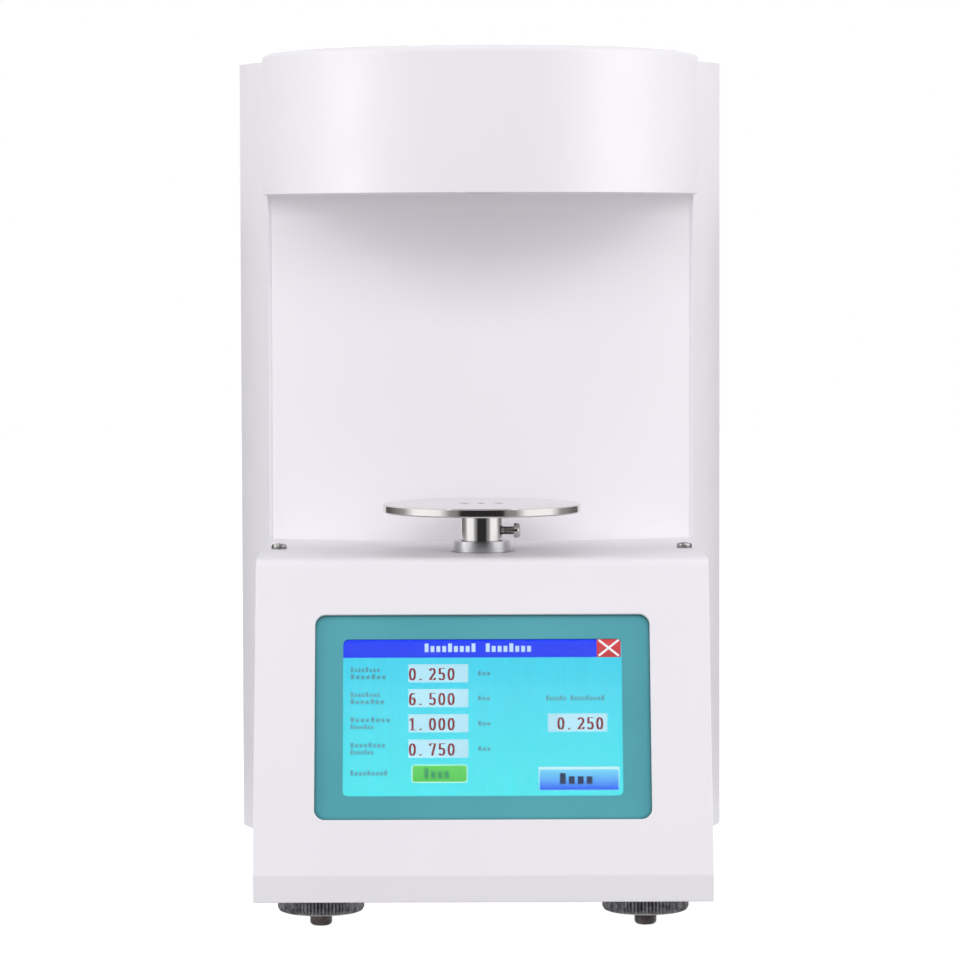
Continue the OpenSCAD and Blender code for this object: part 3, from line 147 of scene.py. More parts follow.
def zincSheet():
    p = zincPlate
    mat, nodes, links, bsdf = newMaterial("zincPlatedSheet")
    point = objectPoint(nodes, links)
    spangle = noise(nodes, links, point, p["spangleScale"], 4)
    links.new(blendColours(nodes, links, spangle, p["dull"], p["light"]), bsdf.inputs["Base Color"])
    links.new(spread(nodes, links, spangle, p["roughLow"], p["roughHigh"]), bsdf.inputs["Roughness"])
    addBump(nodes, links, bsdf, noise(nodes, links, point, p["grainScale"]), p["grainDepth"])
    bsdf.inputs["Metallic"].default_value = 1
    return mat


# Turned metal of the stage and the lift column; streak is how much the darkest ring is dulled
polishedSteel = {"name": "polishedSteel", "colour": (0.73, 0.712, 0.70), "rough": 0.11, "ringScale": 5200,
                 "ringDepth": 0.000003, "streak": 0.10}
turnedAluminium = {"name": "turnedAluminium", "colour": (0.68, 0.68, 0.70), "rough": 0.20, "ringScale": 3600,
                   "ringDepth": 0.000012, "streak": 0.22}

# Lathe marks of both, with roughness as shares of the metal's own. A normal is made round where its part
# in the plane through the axis is roundFrom long or more, and wholly so from roundTo.
latheMarks = {"detail": 4, "strength": 0.6, "smoothest": 0.75, "roughest": 1.3,
              "roundFrom": 0.975, "roundTo": 0.985}


def vectorStep(nodes, links, operation, first, second=None):
    # One vector step; second is a socket, a constant vector or nothing
    step = nodes.new("ShaderNodeVectorMath")
    step.operation = operation
    links.new(first, step.inputs[0])
    if isinstance(second, tuple):
        step.inputs[1].default_value = second
    elif second is not None:
        links.new(second, step.inputs[1])
    return step


def turnSpace(nodes, links, normal, start, end):
    turn = nodes.new("ShaderNodeVectorTransform")
    turn.vector_type = "NORMAL"
    turn.convert_from, turn.convert_to = start, end
    links.new(normal, turn.inputs["Vector"])
    return turn.outputs["Vector"]


def roundNormal(nodes, links, point):
    # The normal of the true round surface, where a turned piece is made of flat sides
    p = latheMarks
    normal = turnSpace(nodes, links, nodes.new("ShaderNodeNewGeometry").outputs["Normal"], "WORLD", "OBJECT")
    flat = vectorStep(nodes, links, "MULTIPLY", point, (1, 1, 0)).outputs["Vector"]
    radial = vectorStep(nodes, links, "NORMALIZE", flat).outputs["Vector"]
    share = vectorStep(nodes, links, "DOT_PRODUCT", normal, radial).outputs["Value"]
    outward = nodes.new("ShaderNodeVectorMath")
    outward.operation = "SCALE"
    links.new(radial, outward.inputs[0])
    links.new(share, outward.inputs["Scale"])
    upright = vectorStep(nodes, links, "MULTIPLY", normal, (0, 0, 1)).outputs["Vector"]
    total = vectorStep(nodes, links, "ADD", outward.outputs["Vector"], upright).outputs["Vector"]
    length = vectorStep(nodes, links, "LENGTH", total).outputs["Value"]
    mix = nodes.new("ShaderNodeMix")
    mix.data_type = "VECTOR"
    links.new(spread(nodes, links, length, 0, 1, p["roundFrom"], p["roundTo"]), mix.inputs["Factor"])
    links.new(normal, mix.inputs[4])
    links.new(vectorStep(nodes, links, "NORMALIZE", total).outputs["Vector"], mix.inputs[5])
    return turnSpace(nodes, links, mix.outputs[1], "OBJECT", "WORLD")


def turnedMetal(p, centre):
    # Lathe marks: rings round the upright axis through centre
    mat, nodes, links, bsdf = newMaterial(p["name"])
    point = objectPoint(nodes, links, place=(centre[0], centre[1], 0))
    flat = vectorStep(nodes, links, "MULTIPLY", point, (1, 1, 0)).outputs["Vector"]
    split = nodes.new("ShaderNodeSeparateXYZ")
    links.new(point, split.inputs["Vector"])
    total = nodes.new("ShaderNodeMath")
    total.operation = "ADD"
    links.new(vectorStep(nodes, links, "LENGTH", flat).outputs["Value"], total.inputs[0])
    links.new(split.outputs["Z"], total.inputs[1])
    rings = nodes.new("ShaderNodeTexNoise")
    rings.noise_dimensions = "1D"
    rings.inputs["Scale"].default_value = p["ringScale"]
    rings.inputs["Detail"].default_value = latheMarks["detail"]
    links.new(total.outputs["Value"], rings.inputs["W"])
    dull = [c * (1 - p["streak"]) for c in p["colour"]]
    links.new(blendColours(nodes, links, rings.outputs["Fac"], dull, p["colour"]), bsdf.inputs["Base Color"])
    smoothest, roughest = p["rough"] * latheMarks["smoothest"], p["rough"] * latheMarks["roughest"]
    links.new(spread(nodes, links, rings.outputs["Fac"], smoothest, roughest), bsdf.inputs["Roughness"])
    addBump(nodes, links, bsdf, rings.outputs["Fac"], p["ringDepth"], latheMarks["strength"],
            roundNormal(nodes, links, point))
    bsdf.inputs["Metallic"].default_value = 1
    return mat


# Other metals: two tones that a fine noise mixes, and a faint grain
blackSteel = {"name": "blackenedSteel", "dull": (0.055, 0.054, 0.058), "light": (0.155, 0.152, 0.160),
              "wearScale": 420, "roughLow": 0.18, "roughHigh": 0.34, "grainScale": 2600,
              "grainDepth": 0.00003, "metallic": 0.9}
tipSteel = {"name": "blackTip", "dull": (0.030, 0.026, 0.025), "light": (0.075, 0.066, 0.062),
            "wearScale": 500, "roughLow": 0.14, "roughHigh": 0.26, "grainScale": 2600,
            "grainDepth": 0.00001, "metallic": 0.8}
screwSteel = {"name": "screwSteel", "dull": (0.20, 0.195, 0.19), "light": (0.42, 0.415, 0.41),
              "wearScale": 900, "roughLow": 0.16, "roughHigh": 0.30, "grainScale": 3000,
              "grainDepth": 0.00001, "metallic": 1}
brass = {"name": "turnedBrass", "dull": (0.62, 0.42, 0.16), "light": (0.80, 0.60, 0.27),
         "wearScale": 500, "roughLow": 0.20, "roughHigh": 0.34, "grainScale": 2200,
         "grainDepth": 0.00001, "metallic": 1}


def wornMetal(p):
    mat, nodes, links, bsdf = newMaterial(p["name"])
    point = objectPoint(nodes, links)
    wear = noise(nodes, links, point, p["wearScale"], 4)
    links.new(blendColours(nodes, links, wear, p["dull"], p["light"]), bsdf.inputs["Base Color"])
    links.new(spread(nodes, links, wear, p["roughHigh"], p["roughLow"]), bsdf.inputs["Roughness"])
    addBump(nodes, links, bsdf, noise(nodes, links, point, p["grainScale"]), p["grainDepth"])
    bsdf.inputs["Metallic"].default_value = p["metallic"]
    return mat


# Teal film round the display, with painted shade: ambient occlusion darkens it in the corner under the
# window's edge
tealFilm = {"dark": (0.078, 0.345, 0.405), "light": (0.088, 0.372, 0.434), "toneScale": 25,
            "glossScale": 300, "roughLow": 0.35, "roughHigh": 0.46, "gloss": 0.35, "grainScale": 2400,
            "grainDepth": 0.00002, "shadeReach": 0.0028, "shade": 0.16, "shadeAt": (0.45, 0.86),
            "shadeSamples": 8}


def filmBezel():
    p = tealFilm
    mat, nodes, links, bsdf = newMaterial("tealFilm")
    point = objectPoint(nodes, links)
    tone = blendColours(nodes, links, noise(nodes, links, point, p["toneScale"], 3), p["dark"], p["light"])
    gloss = noise(nodes, links, point, p["glossScale"])
    links.new(spread(nodes, links, gloss, p["roughLow"], p["roughHigh"]), bsdf.inputs["Roughness"])
    # painted shade: ambient occlusion darkens the film's colour where the window's edge is near, as its
    # shadow would
    near = nodes.new("ShaderNodeAmbientOcclusion")
    near.samples = p["shadeSamples"]
    near.inputs["Distance"].default_value = p["shadeReach"]
    shade = blendColours(nodes, links, near.outputs["AO"], (p["shade"],) * 3, (1, 1, 1), p["shadeAt"])
    links.new(tinted(nodes, links, tone, shade), bsdf.inputs["Base Color"])
    addBump(nodes, links, bsdf, noise(nodes, links, point, p["grainScale"]), p["grainDepth"])
    bsdf.inputs["Specular IOR Level"].default_value = p["gloss"]
    return mat


# Touch glass with an anti-glare coat, which is why its IOR is low
antiGlare = {"tint": (0.985, 1.0, 1.0), "ior": 1.16, "smudgeScale": 40, "roughLow": 0.02, "roughHigh": 0.05}


def clearGlass():
    p = antiGlare
    mat, nodes, links, bsdf = newMaterial("touchGlass")
    point = objectPoint(nodes, links)
    bsdf.inputs["Base Color"].default_value = (*p["tint"], 1)
    smudges = noise(nodes, links, point, p["smudgeScale"], 3)
    links.new(spread(nodes, links, smudges, p["roughLow"], p["roughHigh"]), bsdf.inputs["Roughness"])
    bsdf.inputs["IOR"].default_value = p["ior"]
    bsdf.inputs["Transmission Weight"].default_value = 1
    return mat


# Plastics and rubber: colour from dull to light, with a moulded grain
plastics = {
    "screen_black": {"name": "displayBlack", "dull": (0.012, 0.012, 0.014), "light": (0.020, 0.020, 0.023),
                     "rough": 0.30, "grain": 1400},
    "black_plastic": {"name": "blackPlastic", "dull": (0.018, 0.018, 0.020), "light": (0.030, 0.030, 0.033),
                      "rough": 0.42, "grain": 1400},
    "board_green": {"name": "boardGreen", "dull": (0.010, 0.100, 0.040), "light": (0.015, 0.160, 0.060),
                    "rough": 0.35, "grain": 700},
    "lead_rubber": {"name": "leadSheath", "dull": (0.020, 0.020, 0.022), "light": (0.035, 0.035, 0.037),
                    "rough": 0.55, "grain": 1400},
    "motor_black": {"name": "motorBlack", "dull": (0.015, 0.015, 0.017), "light": (0.028, 0.028, 0.030),
                    "rough": 0.38, "grain": 1400},
}
moulding = {"toneScale": 120, "glossScale": 200, "unevenness": 0.15, "grainDepth": 0.00004,
            "grainStrength": 0.6}


def mouldedPlastic(p):
    mat, nodes, links, bsdf = newMaterial(p["name"])
    point = objectPoint(nodes, links)
    tone = noise(nodes, links, point, moulding["toneScale"], 4)
    links.new(blendColours(nodes, links, tone, p["dull"], p["light"]), bsdf.inputs["Base Color"])
    gloss = noise(nodes, links, point, moulding["glossScale"], 3)
    roughLow, roughHigh = [p["rough"] * (1 + side * moulding["unevenness"]) for side in (-1, 1)]
    links.new(spread(nodes, links, gloss, roughLow, roughHigh), bsdf.inputs["Roughness"])
    grain = noise(nodes, links, point, p["grain"])
    addBump(nodes, links, bsdf, grain, moulding["grainDepth"], moulding["grainStrength"])
    return mat


def middleOf(node):
    low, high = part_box(node)
    return (low + high) / 2


stageCentre = middleOf("stage_hub")
finishes = {
    "white_paint": paintedSheet(),
    "zinc_steel": zincSheet(),
    "polished_steel": turnedMetal(polishedSteel, stageCentre),
    "turned_aluminium": turnedMetal(turnedAluminium, stageCentre),
    "brass": wornMetal(brass),
    "dark_steel": wornMetal(blackSteel),
    "screw_steel": wornMetal(screwSteel),
    "teal_film": filmBezel(),
    "screen_glass": clearGlass(),
}
for slotName, recipe in plastics.items():
    finishes[slotName] = mouldedPlastic(recipe)


def setFinish(obj, mat):
    if not obj.material_slots:
        obj.data.materials.append(mat)
    for place in obj.material_slots:
        place.material = mat


corners = ("front_left", "front_right", "rear_left", "rear_right")
for nodeName, nodeObject in cad.items():
    setFinish(nodeObject, finishes[slotOf[nodeName]])
glossyTip = wornMetal(tipSteel)
for corner in corners:
    setFinish(cad[corner + "_tip"], glossyTip)
print("finishes set on the nodes")

# A small round on the edges of the outer sheets catches the light, most of all round the window
edgeRound = {"width": 0.00035, "segments": 2, "sharpAngle": 35, "flatAngle": 0.5, "closeDistance": 0.00001,
             "nodes": ("front_cover", "deck_plate", "left_side_panel", "right_side_panel")}


def roundEdges(obj):
    p = edgeRound
    weld = obj.modifiers.new("weld", "WELD")
    weld.merge_threshold = p["closeDistance"]
    flat = obj.modifiers.new("flatFaces", "DECIMATE")
    flat.decimate_type = "DISSOLVE"
    flat.angle_limit = math.radians(p["flatAngle"])
    bevel = obj.modifiers.new("edgeRound", "BEVEL")
    bevel.width = p["width"]
    bevel.segments = p["segments"]
    bevel.limit_method = "ANGLE"
    bevel.angle_limit = math.radians(p["sharpAngle"])
    bevel.use_clamp_overlap = False


for nodeName in edgeRound["nodes"]:
    roundEdges(cad[nodeName])
print("edges rounded on the outer sheets")


def pieceFrom(bm, name, body, mats):
    bmesh.ops.recalc_face_normals(bm, faces=bm.faces)
    mesh = bpy.data.meshes.new(name)
    bm.to_mesh(mesh)
    bm.free()
    obj = bpy.data.objects.new(name, mesh)
    bpy.context.scene.collection.objects.link(obj)
    for mat in mats:
        mesh.materials.append(mat)
    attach(obj, body)
    return obj


def pointsIn(geom):
    return [g for g in geom if isinstance(g, bmesh.types.BMVert)]


def fullSpin(bm, geom, steps):
    bmesh.ops.spin(bm, geom=geom, cent=(0, 0, 0), axis=(0, 0, 1), dvec=(0, 0, 0), angle=math.tau,
                   steps=steps, use_merge=True)


seamDistance = 0.000001    # vertices closer than this on a turned piece become one


def lathe(bm, profile, steps):
    # Turns a profile of radius and height about the Z axis
    points = [bm.verts.new((radius, 0, height)) for radius, height in profile]
    lines = [bm.edges.new(pair) for pair in zip(points, points[1:])]
    fullSpin(bm, points + lines, steps)
    bmesh.ops.remove_doubles(bm, verts=bm.verts, dist=seamDistance)


# Levelling wheel: ridged rim with a rounded lower edge, dished top, threaded stud, bore for the tip's pivot
wheelStyle = {"ridges": 70, "ridgeDepth": 0.0006, "roundWide": 0.0020, "roundTall": 0.0018, "edge": 0.0009,
              "dish": 0.0006, "dishRim": 0.0035, "collar": 0.003, "threadTurns": 14, "threadDepth": 0.00045,
              "threadFoot": 0.002, "studSides": 40}


def wheelSizes(node):
    # The plain wheel's axis, and its rim's radius and thickness, bore's radius and depth, and stud's radius
    low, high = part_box(node)
    centre = (low + high) / 2
    rim = (high.x - low.x) / 2
    places = [(math.hypot(v.co.x - centre.x, v.co.y - centre.y), v.co.z) for v in cad[node].data.vertices]
    near = 0.0001
    rimTop = max(z for distance, z in places if distance > 0.8 * rim)
    bore = min(distance for distance, z in places if abs(z - low.z) < near)
    boreTop = max(z for distance, z in places if distance < 1.01 * bore and z < rimTop)
    stud = min(distance for distance, z in places if abs(z - rimTop) < near)
    return centre, rim, rimTop - low.z, bore, boreTop - low.z, stud


def growRing(bm, edges, ratio, rise):
    # Extrudes a loop of edges upwards, and widens or narrows it about the Z axis
    made = bmesh.ops.extrude_edge_only(bm, edges=edges)["geom"]
    points = pointsIn(made)
    bmesh.ops.scale(bm, verts=points, vec=(ratio, ratio, 1))
    bmesh.ops.translate(bm, verts=points, vec=(0, 0, rise))
    return [g for g in made if isinstance(g, bmesh.types.BMEdge)]


def makeWheel(corner):
    p = wheelStyle
    node = corner + "_wheel"
    low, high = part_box(node)
    centre, rim, thick, bore, boreDepth, stud = wheelSizes(node)

    # the lower face lies between the rim's first ring and the bore
    bm = bmesh.new()
    sides = 4 * p["ridges"]
    ring = bmesh.ops.create_circle(bm, segments=sides, radius=rim - p["roundWide"])["verts"]
    valley = 1 - p["ridgeDepth"] / rim
    bmesh.ops.scale(bm, verts=ring[2::4], vec=(valley, valley, 1))
    bmesh.ops.scale(bm, verts=ring[1::2], vec=((1 + valley) / 2,) * 2 + (1,))
    hole = bmesh.ops.create_circle(bm, segments=sides, radius=bore)["verts"]
    rimLoop = list({e for v in ring for e in v.link_edges})
    boreLoop = list({e for v in hole for e in v.link_edges})
    bmesh.ops.bridge_loops(bm, edges=rimLoop + boreLoop)

    # the outside, as radius and height of each next ring: rounded edge, rim, bevel, dish and collar
    outside = [(rim - p["roundWide"] * 0.35, p["roundTall"] * 0.3), (rim, p["roundTall"]),
               (rim, thick - p["edge"]), (rim - p["edge"], thick), (rim - p["dishRim"], thick),
               (rim - p["dishRim"] - 2 * p["dish"], thick - p["dish"]),
               (stud + p["collar"], thick - p["dish"]), (stud + 0.8 * p["collar"], thick)]
    radius, height = rim - p["roundWide"], 0
    for nextRadius, nextHeight in outside:
        rimLoop = growRing(bm, rimLoop, nextRadius / radius, nextHeight - height)
        radius, height = nextRadius, nextHeight
    bmesh.ops.edgeloop_fill(bm, edges=rimLoop)
    boreLoop = growRing(bm, boreLoop, 1, boreDepth)
    bmesh.ops.edgeloop_fill(bm, edges=boreLoop)

    # the stud's thread, rooted in the wheel
    root = stud - p["threadDepth"]
    tall = high.z - low.z
    pitch = (tall - thick) / (p["threadTurns"] + 0.5)
    profile = [(0, thick - p["threadFoot"]), (stud, thick - p["threadFoot"])]
    for turn in range(p["threadTurns"]):
        profile += [(stud, thick + turn * pitch), (root, thick + (turn + 0.5) * pitch)]
    profile += [(stud, thick + p["threadTurns"] * pitch), (root, tall), (0, tall)]
    lathe(bm, profile, p["studSides"])
    bmesh.ops.translate(bm, verts=bm.verts, vec=(centre.x, centre.y, low.z))
    name = corner.replace("_", "") + "Wheel"
    wheel = pieceFrom(bm, name, node + "_body", [finishes["dark_steel"]])
    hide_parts(node)


for corner in corners:
    makeWheel(corner)
print("levelling wheels made")


# Crests of the lock screw's thread, on its shank between the hub and the head
lockThread = {"crest": 0.00168, "root": 0.00138, "core": 0.0008, "pitch": 0.0005, "fromHub": 0.00015,
              "sides": 32}


def makeLockThread():
    p = lockThread
    low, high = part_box("lock_screw")
    axisZ = (low.z + high.z) / 2
    headRadius = (high.z - low.z) / 2
    # the head starts where the screw gets wide
    headStart = min(v.co.x for v in cad["lock_screw"].data.vertices
                    if math.hypot(v.co.y - stageCentre.y, v.co.z - axisZ) > 0.9 * headRadius)
    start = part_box("stage_hub")[1].x + p["fromHub"]
    turns = int((headStart - start) / p["pitch"])
    profile = [(p["root"], 0)]
    for turn in range(turns):
        profile += [(p["crest"], (turn + 0.5) * p["pitch"]), (p["root"], (turn + 1) * p["pitch"])]
    profile += [(p["core"], turns * p["pitch"]), (p["core"], 0), (p["root"], 0)]
    bm = bmesh.new()
    lathe(bm, profile, p["sides"])
    bmesh.ops.rotate(bm, verts=bm.verts, cent=(0, 0, 0), matrix=Matrix.Rotation(math.radians(90), 3, "Y"))
    bmesh.ops.translate(bm, verts=bm.verts, vec=(start, stageCentre.y, axisZ))
    pieceFrom(bm, "lockThread", "lock", [finishes["screw_steel"]])


makeLockThread()
print("lock screw's thread made")

# The lit picture behind the touch glass; places and sizes are shares of the lit area
picture = {"width": 0.1056, "height": 0.0610, "corner": 0.0018, "layer": 0.00006, "gap": 0.00003,
           "titleBox": (0.004, 0.907, 0.002, 0.117), "closeBox": (0.907, 0.993, 0.004, 0.117),
           "closeCorner": 0.0003, "crossHalf": (0.046, 0.0065), "crossTilt": 39,
           "rows": (0.216, 0.373, 0.531, 0.690), "boxFrom": 0.236, "boxTo": 0.449, "boxDepth": 0.114,
           "values": ("0.250", "6.500", "1.000", "0.750"), "valueIn": 0.001, "valueDrop": 0.006,
           "sideBox": (0.731, 0.942), "sideRow": 0.529, "sideValue": "0.250", "sideValueIn": 0.033}

# The two keys: box as from, to, row and depth; rim at the sides, top and foot; corners of the rim and the
# face, in metres
switchKey = {"box": (0.247, 0.446, 0.847, 0.114), "rim": (0.004, 0.007, 0.007), "corners": (0.0013, 0.0010)}
saveKey = {"box": (0.697, 0.983, 0.880, 0.148), "rim": (0.004, 0.018, 0.004), "corners": (0, 0)}

# Rows of small blocks for the title, labels, units and keys: where each row starts and ends, and how many
# blocks it has. A foot is the line that they stand on, for labels and units from the middle of their row.
blocks = {"wide": 0.66, "short": 0.70, "tallEvery": 4,
          "title": ((0.294, 0.482, 9), (0.512, 0.680, 8)), "titleFoot": 0.082, "titleTall": 0.054,
          "labelFrom": 0.031, "labelFeet": (-0.008, 0.036), "labelCounts": (8, 7), "labelTall": 0.032,
          "labelWidths": ((0.107, 0.130), (0.107, 0.124), (0.145, 0.085), (0.128, 0.085)),
          "unit": (0.484, 0.532, 3), "unitFoot": 0.014, "unitTall": 0.028,
          "lastLabel": (0.031, 0.166, 9), "lastFoot": 0.858, "lastTall": 0.034,
          "side": ((0.726, 0.800, 6), (0.812, 0.936, 9)), "sideFoot": 0.390, "sideTall": 0.034,
          "switch": (0.292, 0.388, 4), "switchFoot": 0.877, "switchTall": 0.062,
          "save": (0.772, 0.898, 4), "saveFoot": 0.914, "saveTall": 0.068}

# Colours of the lit picture, as the light that they give off
litTones = {"fieldLow": (0.050, 0.665, 0.900), "fieldHigh": (0.055, 0.810, 0.890),
            "title": (0.004, 0.042, 0.960), "titleFoot": (0.003, 0.036, 0.880), "pale": (0.46, 0.79, 0.92),
            "digits": (0.21, 0.010, 0.022), "cross": (0.93, 0.97, 1.0), "redHigh": (0.70, 0.050, 0.055),
            "redLow": (0.56, 0.028, 0.040), "words": (0.080, 0.340, 0.455), "titleWords": (0.55, 0.74, 0.96),
            "green": (0.100, 0.655, 0.090), "greenFoot": (0.075, 0.560, 0.070),
            "greenRim": (0.48, 0.86, 0.72), "greenWords": (0.030, 0.300, 0.100),
            "keyHigh": (0.55, 0.86, 0.93), "keyLow": (0.006, 0.110, 0.880),
            "keyRim": (0.16, 0.66, 0.94), "keyWords": (0.004, 0.020, 0.090)}
backlight = {"pixel": 0.00052, "ripple": 0.08, "cloudScale": 60, "cloud": 0.05, "cloudAt": (0.3, 0.7),
             "turnAt": (0.05, 0.95), "fieldStreaks": 0.07, "streakScale": 900, "streakStretch": 30,
             "ground": (0.01, 0.01, 0.012), "rough": 0.4, "gloss": 0.1}


def axesOf(node):
    # Right, up and outward directions of a slanted plate, and its extents along them
    face = max(cad[node].data.polygons, key=lambda f: f.area if f.normal.y < -0.5 else 0)
    out = face.normal.copy()
    right = Vector((1, 0, 0))
    up = out.cross(right)
    spans = [sorted(v.co.dot(axis) for v in cad[node].data.vertices) for axis in (right, up, out)]
    return right, up, out, [(s[0], s[-1]) for s in spans]


right, up, out, glassSpan = axesOf("touch_glass")
displaySpan = axesOf("display_module")[3]
displayFront = displaySpan[2][1]
lean = math.atan2(out.z, -out.y)
screenCentre = right * sum(glassSpan[0]) / 2 + up * sum(glassSpan[1]) / 2


def onSlant(level):
    # Places what is drawn flat about the origin on the slanted screen, at a distance outwards
    turn = Matrix((right, up, out)).transposed().to_4x4()
    turn.translation = screenCentre + out * level
    return turn


def litColour(name, colour, second=None, streaks=0.0):
    # A backlit colour with the display's fine pixels; where second is given, the colour turns into it upwards
    p = backlight
    mat, nodes, links, bsdf = newMaterial(name)
    point = objectPoint(nodes, links, turn=(-lean, 0, 0))
    pixels = nodes.new("ShaderNodeTexChecker")
    pixels.inputs["Scale"].default_value = 1 / p["pixel"]
    pixels.inputs["Color1"].default_value = (1, 1, 1, 1)
    pixels.inputs["Color2"].default_value = (1 - p["ripple"],) * 3 + (1,)
    links.new(point, pixels.inputs["Vector"])
    if second:
        uv = nodes.new("ShaderNodeUVMap")
        uv.uv_map = "plate"
        split = nodes.new("ShaderNodeSeparateXYZ")
        links.new(uv.outputs["UV"], split.inputs["Vector"])
        tone = blendColours(nodes, links, split.outputs["Y"], colour, second, p["turnAt"])
    else:
        darker = [c * (1 - p["cloud"]) for c in colour]
        lighter = [min(1, c * (1 + p["cloud"])) for c in colour]
        clouds = noise(nodes, links, point, p["cloudScale"])
        tone = blendColours(nodes, links, clouds, darker, lighter, p["cloudAt"])
    if streaks:
        upright = objectPoint(nodes, links, stretch=(1, p["streakStretch"], p["streakStretch"]))
        lines = noise(nodes, links, upright, p["streakScale"])
        tone = tinted(nodes, links, tone, blendColours(nodes, links, lines, (1 - streaks,) * 3, (1, 1, 1)))
    links.new(tinted(nodes, links, tone, pixels.outputs["Color"]), bsdf.inputs["Emission Color"])
    bsdf.inputs["Base Color"].default_value = (*p["ground"], 1)
    bsdf.inputs["Roughness"].default_value = p["rough"]
    bsdf.inputs["Specular IOR Level"].default_value = p["gloss"]
    bsdf.inputs["Emission Strength"].default_value = 1
    return mat


def startPlates():
    bm = bmesh.new()
    bm.loops.layers.uv.new("plate")
    return bm


def moveInto(bm, one):
    # Adds a finished bmesh to another
    mesh = bpy.data.meshes.new("part")
    one.to_mesh(mesh)
    one.free()
    bm.from_mesh(mesh)
    bpy.data.meshes.remove(mesh)


def plate(bm, fromU, toU, fromV, toV, level, corner=0, material=0, tilt=0):
    # A thin plate on the display; u runs to the right and v down, and corner is in metres
    p = picture
    wide = (toU - fromU) * p["width"]
    tall = (toV - fromV) * p["height"]
    one = bmesh.new()
    layer = one.loops.layers.uv.new("plate")
    points = bmesh.ops.create_grid(one, x_segments=1, y_segments=1, size=0.5)["verts"]
    bmesh.ops.scale(one, verts=points, vec=(wide, tall, 1))
    if corner > 0:
        bmesh.ops.bevel(one, geom=points, offset=corner, offset_type="OFFSET", segments=6, profile=0.5,
                        affect="VERTICES", material=-1)
    lifted = bmesh.ops.extrude_face_region(one, geom=list(one.faces))["geom"]
    bmesh.ops.translate(one, verts=pointsIn(lifted), vec=(0, 0, p["layer"]))
    for face in one.faces:
        face.material_index = material
        for loop in face.loops:
            loop[layer].uv = (loop.vert.co.x / wide + 0.5, loop.vert.co.y / tall + 0.5)
    if tilt:
        turn = Matrix.Rotation(math.radians(tilt), 3, "Z")
        bmesh.ops.rotate(one, verts=one.verts, cent=(0, 0, 0), matrix=turn)
    middle = Vector((((fromU + toU) / 2 - 0.5) * p["width"], (0.5 - (fromV + toV) / 2) * p["height"],
                     level * (p["layer"] + p["gap"])))
    bmesh.ops.translate(one, verts=one.verts, vec=middle)
    moveInto(bm, one)


def screenPiece(bm, name, mats):
    bmesh.ops.transform(bm, matrix=onSlant(displayFront + picture["gap"]), verts=bm.verts)
    return pieceFrom(bm, name, "root", mats)


def rowOfBlocks(bm, row, foot, tall, level):
    # A row of small blocks of two heights, the tall ones evenly spread
    fromU, toU, count = row
    pitch = (toU - fromU) / count
    for i in range(count):
        height = tall if i % blocks["tallEvery"] == 0 else blocks["short"] * tall
        plate(bm, fromU + i * pitch, fromU + (i + blocks["wide"]) * pitch, foot - height, foot, level)


# Plain figures drawn with a broad nib; strokes are in shares of the height, from the lower left corner
figureStyle = {"height": 0.0047, "advance": 0.0035, "pointAdvance": 1.15, "nibWide": 0.17, "nibTall": 0.055}


def bow(cx, cy, rx, ry, start, end, steps):
    turns = [math.radians(start + (end - start) * i / steps) for i in range(steps + 1)]
    return [(cx + rx * math.cos(t), cy + ry * math.sin(t)) for t in turns]


strokes = {
    "0": [bow(0.30, 0.5, 0.20, 0.47, 0, 360, 18)],
    "1": [[(0.14, 0.82), (0.31, 0.97), (0.31, 0.03)], [(0.16, 0.03), (0.47, 0.03)]],
    "2": [bow(0.29, 0.72, 0.19, 0.25, 160, -30, 9) + [(0.10, 0.05), (0.47, 0.05), (0.50, 0.18)]],
    "5": [[(0.48, 0.97), (0.15, 0.97), (0.14, 0.52)] + bow(0.29, 0.32, 0.20, 0.29, 120, -145, 12)],
    "6": [bow(0.36, 0.50, 0.25, 0.47, 70, 180, 8) + bow(0.30, 0.32, 0.19, 0.29, 180, 540, 14)],
    "7": [[(0.12, 0.82), (0.12, 0.97), (0.50, 0.97), (0.28, 0.03)]],
    ".": [[(0.20, 0.04), (0.21, 0.10)]],
}


def drawFigures(bm, value, leftU, middleV, level):
    p = picture
    f = figureStyle
    size = f["height"]
    low = level * (p["layer"] + p["gap"])
    x = (leftU - 0.5) * p["width"]
    y = (0.5 - middleV) * p["height"] - size / 2
    for sign in value:
        for line in strokes[sign]:
            for first, last in zip(line, line[1:]):
                nib = [bm.verts.new((x + (px + sx * f["nibWide"] / 2) * size,
                                     y + (py + sy * f["nibTall"] / 2) * size, low + sz * p["layer"]))
                       for px, py in (first, last) for sx in (-1, 1) for sy in (-1, 1) for sz in (0, 1)]
                inner = bmesh.ops.convex_hull(bm, input=nib)["geom_interior"]
                bmesh.ops.delete(bm, geom=pointsIn(inner), context="VERTS")
        x += f["advance"] * (f["pointAdvance"] if sign == "." else 1)


